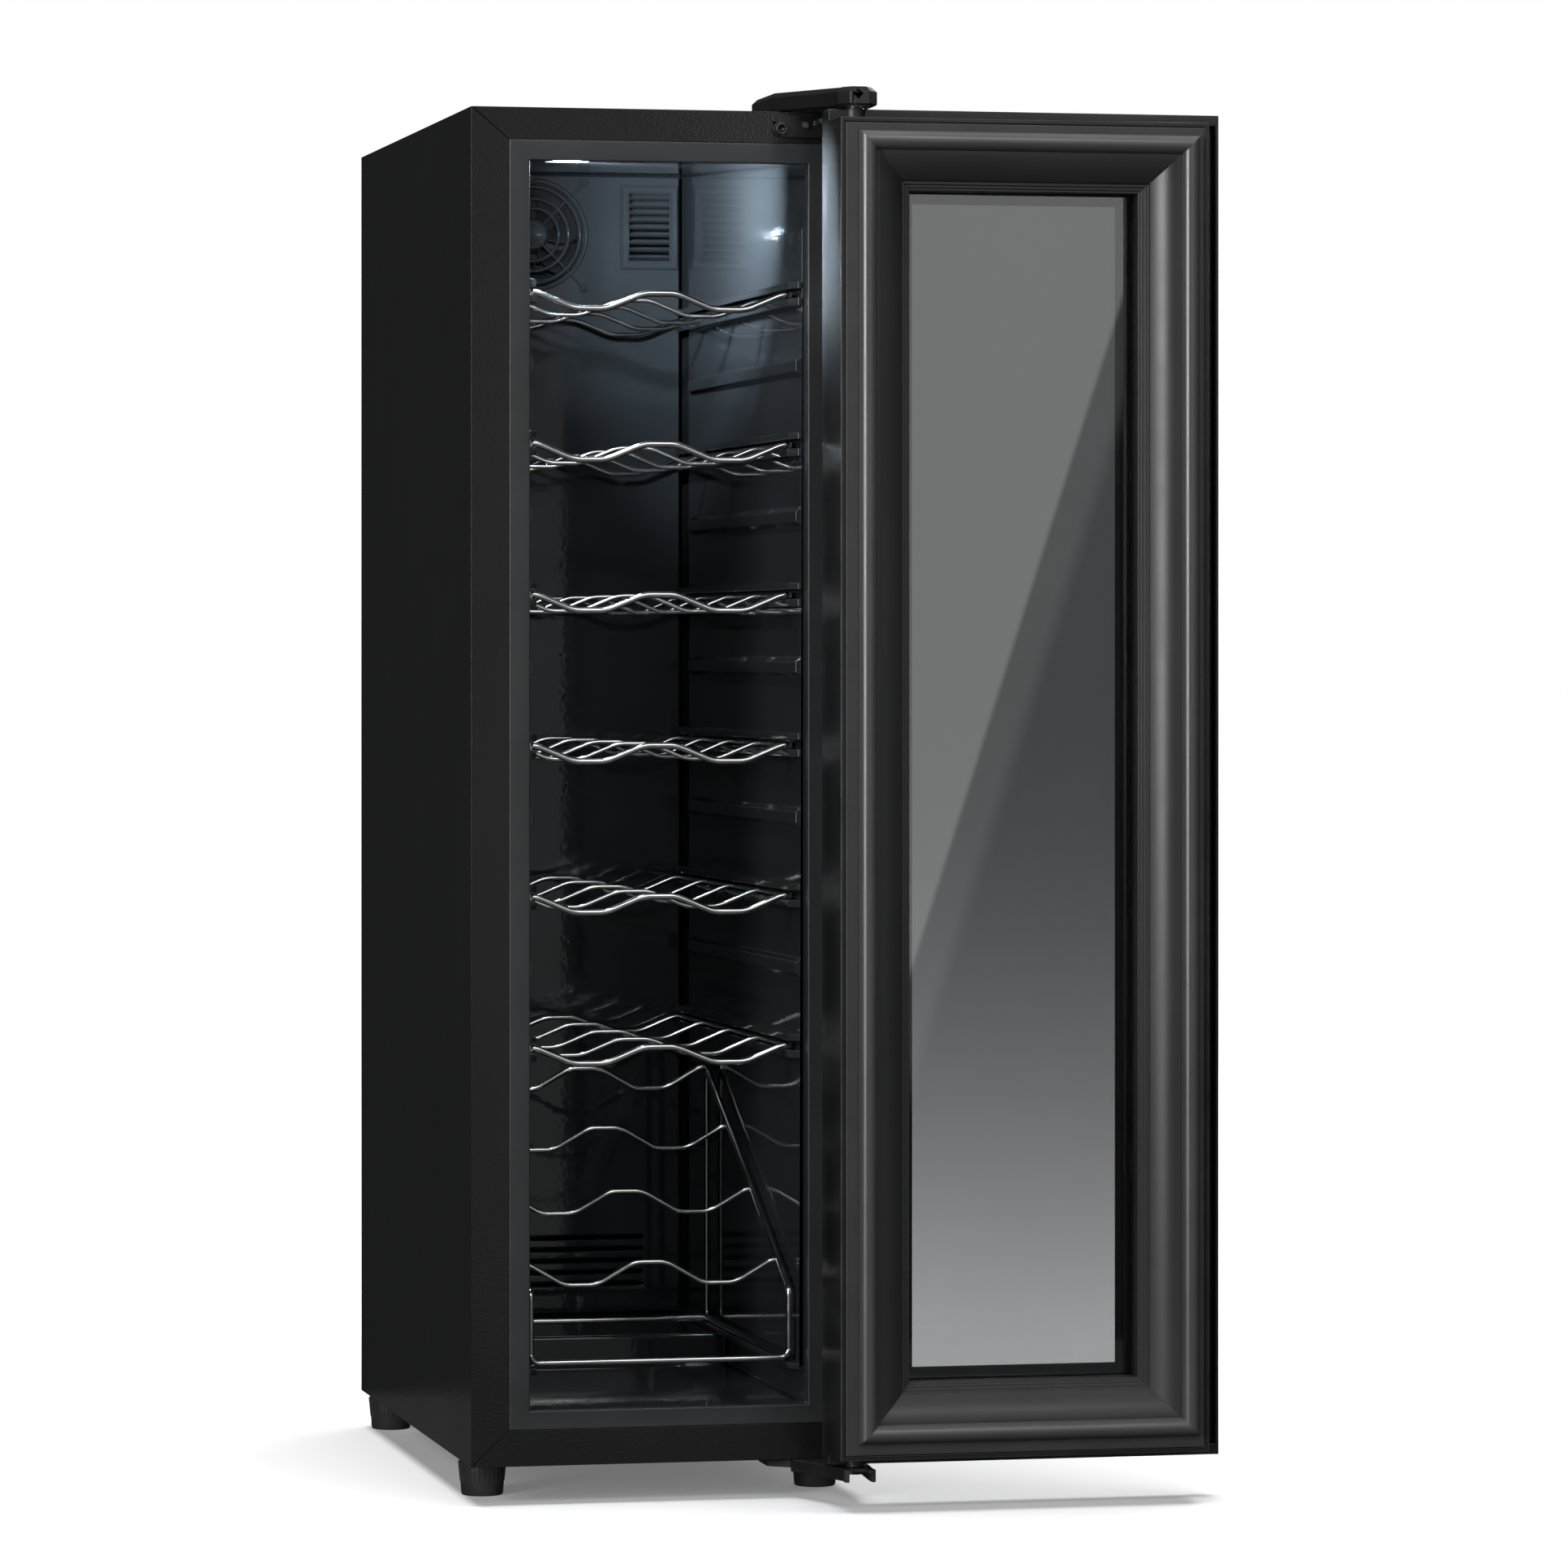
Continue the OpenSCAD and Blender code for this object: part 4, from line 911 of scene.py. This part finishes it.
# feet
foot = {"places": {"foot_front_left": (-109, 66), "foot_front_right": (109, 66),
    "foot_rear_left": (-109, 434), "foot_rear_right": (109, 434)},
        "profile": [(0, 1.0), (8.5, 1.0), (8.9, 0.8), (9.0, 0.4), (9.4, 0.0), (12.4, 0.0), (13.1, 0.4),
        (13.4, 1.2), (14.35, 14.0), (14.95, 21.0), (14.8, 21.7), (14.2, 22.0),
                    (9.4, 22.0), (9.0, 22.3), (9.0, 24.2), (8.7, 24.5), (4.0, 24.5), (4.0, 37.2),
                    (3.3, 38.0), (0, 38.0)], "ribs": 30}
ribBlock = block((13.4, -0.5, 8.4), (15.5, 0.5, 21.3))
for vertex in ribBlock.vertices:
    if vertex.co.x > 15.0 * mm and vertex.co.z < 10.0 * mm:
        vertex.co.x = 14.25 * mm
rib = bevelled(ribBlock, 0.35 * mm, 2)
ribs = growCopies(aroundAxis, rib, {"Count": foot["ribs"], "Finish": footRubber})
oneFoot = pile([lathe(foot["profile"], 72), ribs])
for nodeName, (x, y) in foot["places"].items():
    place(pieceName(nodeName), moved(oneFoot.copy(), shifted(x, y, 0)), footRubber, nodeName)
print("feet done")

# door, as folded back: u runs from the hinge edge towards the latch edge
door = {"slab": -49.0, "inner": -83.0, "ring": (103.0, 325.0, 42.9, 864.9),
    "flange": (95.3, 327.7, 36.3, 869.5),
        "flangeInner": (104.2, 323.8, 44.1, 863.7), "glass": (94.2, 344.8, 29.3, 878.0),
        "clearGlass": (140.0, 288.0, 80.0, 828.0),
        "printFace": -34.53, "printThick": 0.04}
soften("door_frame", doorEdge, 0.7, 3)


def depth(level):
    # level counts from the flange face into the door
    return door["inner"] + level


slope = [(12.6 + 18.2 * t, depth(10 * t ** 1.8), 0) for t in (i / 24 for i in range(25))]
moulding = [(1.2, door["slab"] + 2.2, 0), (1.2, depth(0), 0.3), (3.0, depth(0), 0.3), (3.0, depth(4), 0.2),
    (9.6, depth(4), 0.2), (9.6, depth(0), 0.5)]
moulding += slope + [(30.8, depth(11.6), 0.5), (33.0, depth(11.6), 0.5), (33.0, depth(13.2), 0.4),
    (35.0, depth(13.2), 0.5), (35.0, depth(14.6), 0.3), (36.7, depth(14.6), 0.5),
    (36.7, door["slab"] + 2.2, 0)]
bm = bmesh.new()
outerBox, innerBox, rear = door["flange"], door["flangeInner"], door["slab"] + 2.2
rims = ((outerBox, rear), (outerBox, depth(0.5)), (shrunk(outerBox, 0.15), depth(0.15)),
    (shrunk(outerBox, 0.5), depth(0)),
        (innerBox, depth(0)), (innerBox, rear))
joined(bm, [boxRing(bm, box, y) for box, y in rims], True)
place("doorLiner", pile([frameSweep(filletLoop(moulding, 4), door["ring"]), toMesh(bm, "flange")]),
    doorPlastic, "door_liner")

beadCurve = [(6.4 + 5.9 * math.cos(math.radians(a)), depth(-0.3) - 6 * math.sin(math.radians(a)), 0)
    for a in range(180, -1, -10)]
seal = [(4.0, depth(3.8), 0), (4.0, depth(-0.05), 0),
    (0.5, depth(-0.05), 0)] + beadCurve + [(12.3, depth(-0.05), 0), (8.8, depth(-0.05), 0),
    (8.8, depth(3.8), 0)]
place("doorGasket", frameSweep(filletLoop(seal, 4), door["ring"]), sealRubber, "door_gasket")
soften("outer_glass", smokedGlass, 0.5, 3)
soften("inner_glass", smokedGlass, 0.3)
soften("glass_spacer", fanPlastic, 0.3)
soften("top_bush", bushNylon, 0.3)
soften("bottom_bush", bushNylon, 0.3)
bm = bmesh.new()
face, rear = door["printFace"], door["printFace"] - door["printThick"]
rims = ((door["glass"], face), (door["clearGlass"], face), (door["clearGlass"], rear),
    (door["glass"], rear))
joined(bm, [boxRing(bm, box, y) for box, y in rims], True)
place("glassBorder", toMesh(bm, "border"), borderInk, "outer_glass", False)
soften("grip_strip", fanPlastic, 0.35)
print("door done")

# wire shelves and display rack
shelf = {"side": 84.0, "sideEnds": (29.5, 376.5), "rows": (30.0, 116.5, 203.0, 289.5, 376.0),
    "wave": ((-84, 1), (-80, 1), (-56, 0), (-35, 0), (-10.6, 1), (10.6, 1), (35, 0), (56, 0), (80, 1),
    (84, 1)),
         "rise": 10.0, "frontWire": 2.2, "wire": 1.6, "sideWire": 1.9, "bend": 26.0, "top": 757.0,
         "pitch": 96.1}


def waveLine(y, z, rise):
    return [(x, y, z + up * rise) for x, up in shelf["wave"]]


front = wires([waveLine(shelf["rows"][0], 0, shelf["rise"])], shelf["frontWire"], shelf["bend"], chromeWire,
    18, 8)
rest = wires([waveLine(y, 0, shelf["rise"]) for y in shelf["rows"][1:]], shelf["wire"], shelf["bend"],
    chromeWire, 14, 8)
edges = (-shelf["side"], shelf["side"])
sides = wires([[(x, y, shelf["rise"]) for y in shelf["sideEnds"]] for x in edges], shelf["sideWire"], 0.0,
    chromeWire, 16, 1)
oneShelf = pile([front, rest, sides])
for k in range(6):
    name = "shelf_%d" % (k + 1)
    place(pieceName(name), moved(oneShelf.copy(), shifted(0, 0, shelf["top"] - k * shelf["pitch"])),
        chromeWire, name)

rack = {"base": 86.6, "front": 30.0, "rear": 288.0, "shoulder": 131.0, "tilt": 26.0,
    "rungs": (62.0, 142.0, 216.0, 288.0), "drop": 14.0, "stub": 6.0, "wire": 2.0, "rungWire": 1.6}
climb = math.tan(math.radians(rack["tilt"]))
start = rack["shoulder"] - rack["front"] * climb
near, far, floorLine = rack["front"], rack["rear"], rack["base"]
sidePath = [(near, floorLine), (far, floorLine), (far, start + far * climb), (near, rack["shoulder"]),
    (near, floorLine)]
loops = [[(x, y, z) for y, z in sidePath] for x in edges]
stub = floorLine + rack["stub"]
lines = [[(edges[0], near, stub), (edges[0], near, floorLine), (edges[1], near, floorLine),
    (edges[1], near, stub)],
         [(x, far, floorLine) for x in edges]]
thick = wires(loops + lines, rack["wire"], 6.0, chromeWire, 16, 6)
rungs = [[(x, y, start + y * climb + (up - 1) * rack["drop"]) for x, up in shelf["wave"]]
    for y in rack["rungs"]]
thin = wires(rungs[:3], rack["rungWire"], 20.0, chromeWire, 14, 8)
last = wires(rungs[3:], rack["wire"], 20.0, chromeWire, 16, 8)
place("displayRack", pile([thick, thin, last]), chromeWire, "display_rack")
print("shelves and rack done")

# stage, lights and camera
studio = {"floorSize": 60.0, "floorTone": 0.6, "paintedShadeReach": (0.42, 1.0), "paintedShadeLevel": 0.16,
    "overhead": 260.0, "key": 26.0,
    "worldDim": 0.02, "worldFront": 0.12, "worldSeen": 1.0, "glassLow": 0.235, "glassRise": 1.22,
    "glassCurve": 2.5, "glassDip": -0.102,
    "lampColor": (0.72, 0.87, 1.0), "lampSpread": 76.0, "spillSpread": 60.0}
floorMesh = bpy.data.meshes.new("floor")
half = studio["floorSize"] / 2
floorMesh.from_pydata([(-half, -half, 0), (half, -half, 0), (half, half, 0), (-half, half, 0)], [],
    [(0, 1, 2, 3)])
floor = bpy.data.objects.new("floor", floorMesh)
scene.collection.objects.link(floor)
floor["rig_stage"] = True
floorPaint = bpy.data.materials.new("floorPaint")
floorPaint.use_nodes = True
floorTree = floorPaint.node_tree
floorShader = floorTree.nodes["Principled BSDF"]
floorShader.inputs["Base Color"].default_value = grey(studio["floorTone"])
floorShader.inputs["Roughness"].default_value = 0.9
floorShader.inputs["Specular IOR Level"].default_value = 0.0
# painted shade: the floor's glow is dimmed close to the cabinet and reaches full white further out, and the
# lamps' own shadows fall on top of it
spotPlace = addNode(floorTree, "ShaderNodeTexCoord")
centred = addNode(floorTree, "ShaderNodeMapping",
    {"Vector": spotPlace.outputs["Object"], "Location": (-0.06, -0.15, 0.0)})
away = addNode(floorTree, "ShaderNodeVectorMath", {0: centred.outputs["Vector"]}, operation="LENGTH")
paintedFloorShade = addNode(floorTree, "ShaderNodeMapRange",
    {"Value": away.outputs["Value"], "From Min": studio["paintedShadeReach"][0], "From Max": studio["paintedShadeReach"][1],
    "To Min": studio["paintedShadeLevel"], "To Max": 1.0}, interpolation_type="SMOOTHSTEP")
whiteOut = addNode(floorTree, "ShaderNodeMix",
    {0: paintedFloorShade.outputs["Result"], 6: (0, 0, 0, 1), 7: (1, 1, 1, 1)}, data_type="RGBA")
floorTree.links.new(whiteOut.outputs[2], floorShader.inputs["Emission Color"])
floorShader.inputs["Emission Strength"].default_value = 1.0
floorMesh.materials.append(floorPaint)
floor.visible_glossy = False
floor.visible_transmission = False
floor.visible_diffuse = False

world = bpy.data.worlds.new("studioAir")
scene.world = world
world.use_nodes = True
air = world.node_tree
air.nodes.clear()
ray = addNode(air, "ShaderNodeLightPath")
direction = addNode(air, "ShaderNodeTexCoord")
parts = addNode(air, "ShaderNodeSeparateXYZ", {"Vector": direction.outputs["Generated"]})
sink = addNode(air, "ShaderNodeMapRange",
    {"Value": parts.outputs["Z"], "From Min": 0.0, "From Max": studio["glassDip"], "To Min": 0.0,
    "To Max": 1.0})
curve = addNode(air, "ShaderNodeMath", {0: sink.outputs["Result"], 1: studio["glassCurve"]},
    operation="POWER")
height = addNode(air, "ShaderNodeMath",
    {0: curve.outputs["Value"], 1: studio["glassRise"], 2: studio["glassLow"]}, operation="MULTIPLY_ADD")
seenThrough = addNode(air, "ShaderNodeBackground",
    {"Color": (1, 1, 1, 1), "Strength": height.outputs["Value"]})
ahead = addNode(air, "ShaderNodeMapRange", {"Value": parts.outputs["Y"], "From Min": -0.1, "From Max": -0.7,
    "To Min": studio["worldDim"], "To Max": studio["worldFront"]})
dim = addNode(air, "ShaderNodeBackground",
    {"Color": (0.95, 0.97, 1.0, 1), "Strength": ahead.outputs["Result"]})
white = addNode(air, "ShaderNodeBackground", {"Color": (1, 1, 1, 1), "Strength": studio["worldSeen"]})
# only air seen straight through glass is bright; light that has bounced inside a pane meets the dim studio
bounces = addNode(air, "ShaderNodeMath", {0: ray.outputs["Glossy Depth"], 1: ray.outputs["Diffuse Depth"]},
    operation="ADD")
unbounced = addNode(air, "ShaderNodeMath", {0: bounces.outputs["Value"], 1: 0.5}, operation="LESS_THAN")
straight = addNode(air, "ShaderNodeMath",
    {0: unbounced.outputs["Value"], 1: ray.outputs["Is Transmission Ray"]}, operation="MULTIPLY")
first = addNode(air, "ShaderNodeMixShader",
    {0: straight.outputs["Value"], 1: dim.outputs[0], 2: seenThrough.outputs[0]})
second = addNode(air, "ShaderNodeMixShader",
    {0: ray.outputs["Is Camera Ray"], 1: first.outputs[0], 2: white.outputs[0]})
end = addNode(air, "ShaderNodeOutputWorld", {"Surface": second.outputs[0]})


def softbox(name, position, target, size, power, color=(1, 1, 1), **seen):
    light = bpy.data.lights.new(name, "AREA")
    light.shape = "RECTANGLE"
    light.size, light.size_y = size
    light.energy = power
    light.color = color
    lamp = bpy.data.objects.new(name, light)
    lamp.location = position
    lamp.rotation_euler = (Vector(target) - Vector(position)).to_track_quat("-Z", "Y").to_euler()
    scene.collection.objects.link(lamp)
    for flag, value in seen.items():
        setattr(lamp, flag, value)
    return lamp


unseen = {"visible_glossy": False, "visible_transmission": False}
softbox("overhead", (0.1, 0.1, 3.4), (0.1, 0.1, 0), (2.6, 2.6), studio["overhead"], **unseen)
softbox("frontKey", (0.3, -3.0, 2.9), (0.1, 0, 0.45), (1.8, 1.0), studio["key"], visible_transmission=False)
softbox("leftKey", (-2.5, -2.2, 1.25), (0.2, 0, 0.5), (0.8, 2.0), 84.0, visible_transmission=False)
softbox("rightFill", (1.5, -3.4, 0.5), (0.2, 0, 0.45), (0.8, 1.2), 16.0, **unseen)
softbox("backFill", (2.4, 3.2, 1.4), (0.1, 0.25, 0.45), (2.2, 1.8), 60.0, visible_transmission=False)
glow = softbox("lampLight", (-0.0585, 0.033, 0.8465), (0.09, 0.2, 0.85), (0.018, 0.052), 3.3,
    studio["lampColor"], visible_camera=False, **unseen)
glow.data.spread = math.radians(studio["lampSpread"])
spill = softbox("lampSpill", (0.03, -0.022, 0.82), (0.1275, -0.05, 0.785), (0.012, 0.1), 0.6,
    studio["lampColor"], visible_camera=False, visible_transmission=False)
spill.data.spread = math.radians(studio["spillSpread"])

# cards that show only in reflections: one in front with slanting light edges, one low beside the cabinet
def reflectionCard(name, corners, paint):
    mesh = bpy.data.meshes.new(name)
    mesh.from_pydata(corners, [], [tuple(range(len(corners)))])
    card = bpy.data.objects.new(name, mesh)
    scene.collection.objects.link(card)
    card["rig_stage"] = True
    mesh.materials.append(paint)
    for flag in ("visible_camera", "visible_diffuse", "visible_shadow", "visible_transmission"):
        setattr(card, flag, False)


def cardLight(name, strength):
    paint = bpy.data.materials.new(name)
    paint.use_nodes = True
    shader = paint.node_tree.nodes["Principled BSDF"]
    shader.inputs["Base Color"].default_value = (0, 0, 0, 1)
    shader.inputs["Specular IOR Level"].default_value = 0.0
    shader.inputs["Emission Color"].default_value = (1, 1, 1, 1)
    shader.inputs["Emission Strength"].default_value = strength
    return paint, shader


frontCard = {"strength": 1.66, "bandLight": 0.18, "softLight": 0.24,
    "sharpEdge": ((1.0843, 0.89), (0.8595, 0.197)),
    "sharpFade": 0.004, "softEdge": ((1.124, 0.89), (0.899, 0.197)), "softFade": 0.013, "glassFrom": 0.825,
    "wide": (0.2, 1.5), "tall": (-0.217, 1.7), "away": -3.0}
floorCard = {"corners": ((-0.135, 0.646), (-1.63, 0.316), (-1.63, -0.3), (-0.135, -0.02)), "lift": 0.0005,
    "strength": 0.055}
cardPaint, cardShader = cardLight("frontCardPaint", frontCard["strength"])
cardTree = cardPaint.node_tree
where = addNode(cardTree, "ShaderNodeSeparateXYZ",
    {"Vector": addNode(cardTree, "ShaderNodeTexCoord").outputs["Object"]})


def combined(tree, operation, first, second, third=None):
    values = {0: first, 1: second}
    if third is not None:
        values[2] = third
    return addNode(tree, "ShaderNodeMath", values, operation=operation).outputs["Value"]


def leftOf(edge, softness):
    # 1 on the low-X side of a slanting line, fading over the given width
    (xa, za), (xb, zb) = edge
    lean = (xa - xb) / (za - zb)
    limit = combined(cardTree, "MULTIPLY_ADD", where.outputs["Z"], lean, xa - za * lean)
    gap = combined(cardTree, "SUBTRACT", limit, where.outputs["X"])
    return addNode(cardTree, "ShaderNodeMapRange",
        {"Value": gap, "From Min": -softness, "From Max": softness, "To Min": 0.0, "To Max": 1.0},
        interpolation_type="SMOOTHSTEP").outputs["Result"]


overGlass = combined(cardTree, "GREATER_THAN", where.outputs["X"], frontCard["glassFrom"])
strong = combined(cardTree, "MULTIPLY_ADD", leftOf(frontCard["softEdge"], frontCard["softFade"]),
    frontCard["softLight"],
    combined(cardTree, "MULTIPLY", leftOf(frontCard["sharpEdge"], frontCard["sharpFade"]),
    1 - frontCard["softLight"]))
level = combined(cardTree, "MULTIPLY_ADD", combined(cardTree, "MULTIPLY", strong, overGlass), 1.0,
    combined(cardTree, "MULTIPLY", combined(cardTree, "SUBTRACT", 1.0, overGlass), frontCard["bandLight"]))
cardColor = addNode(cardTree, "ShaderNodeMix", {0: level, 6: (0, 0, 0, 1), 7: (1, 1, 1, 1)},
    data_type="RGBA")
cardTree.links.new(cardColor.outputs[2], cardShader.inputs["Emission Color"])
(left, right), (low, high) = frontCard["wide"], frontCard["tall"]
corners = [(x, frontCard["away"], z) for x, z in ((left, low), (right, low), (right, high), (left, high))]
reflectionCard("frontCard", corners, cardPaint)
corners = [(x, y, floorCard["lift"]) for x, y in floorCard["corners"]]
reflectionCard("floorCard", corners, cardLight("floorCardPaint", floorCard["strength"])[0])

view = {"lens": 152.4, "sensor": 36.0, "shift": -0.087, "reach": 200.0, "place": (-0.8380, -4.1199, 0.5412),
    "turn": 12.483}
camera = bpy.data.cameras.new("camera")
camera.lens = view["lens"]
camera.sensor_width = view["sensor"]
camera.shift_y = view["shift"]
camera.clip_end = view["reach"]
eye = bpy.data.objects.new("camera", camera)
eye.location = view["place"]
eye.rotation_euler = (math.radians(90), 0, -math.radians(view["turn"]))
scene.collection.objects.link(eye)
scene.camera = eye
print("stage done")

low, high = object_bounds()
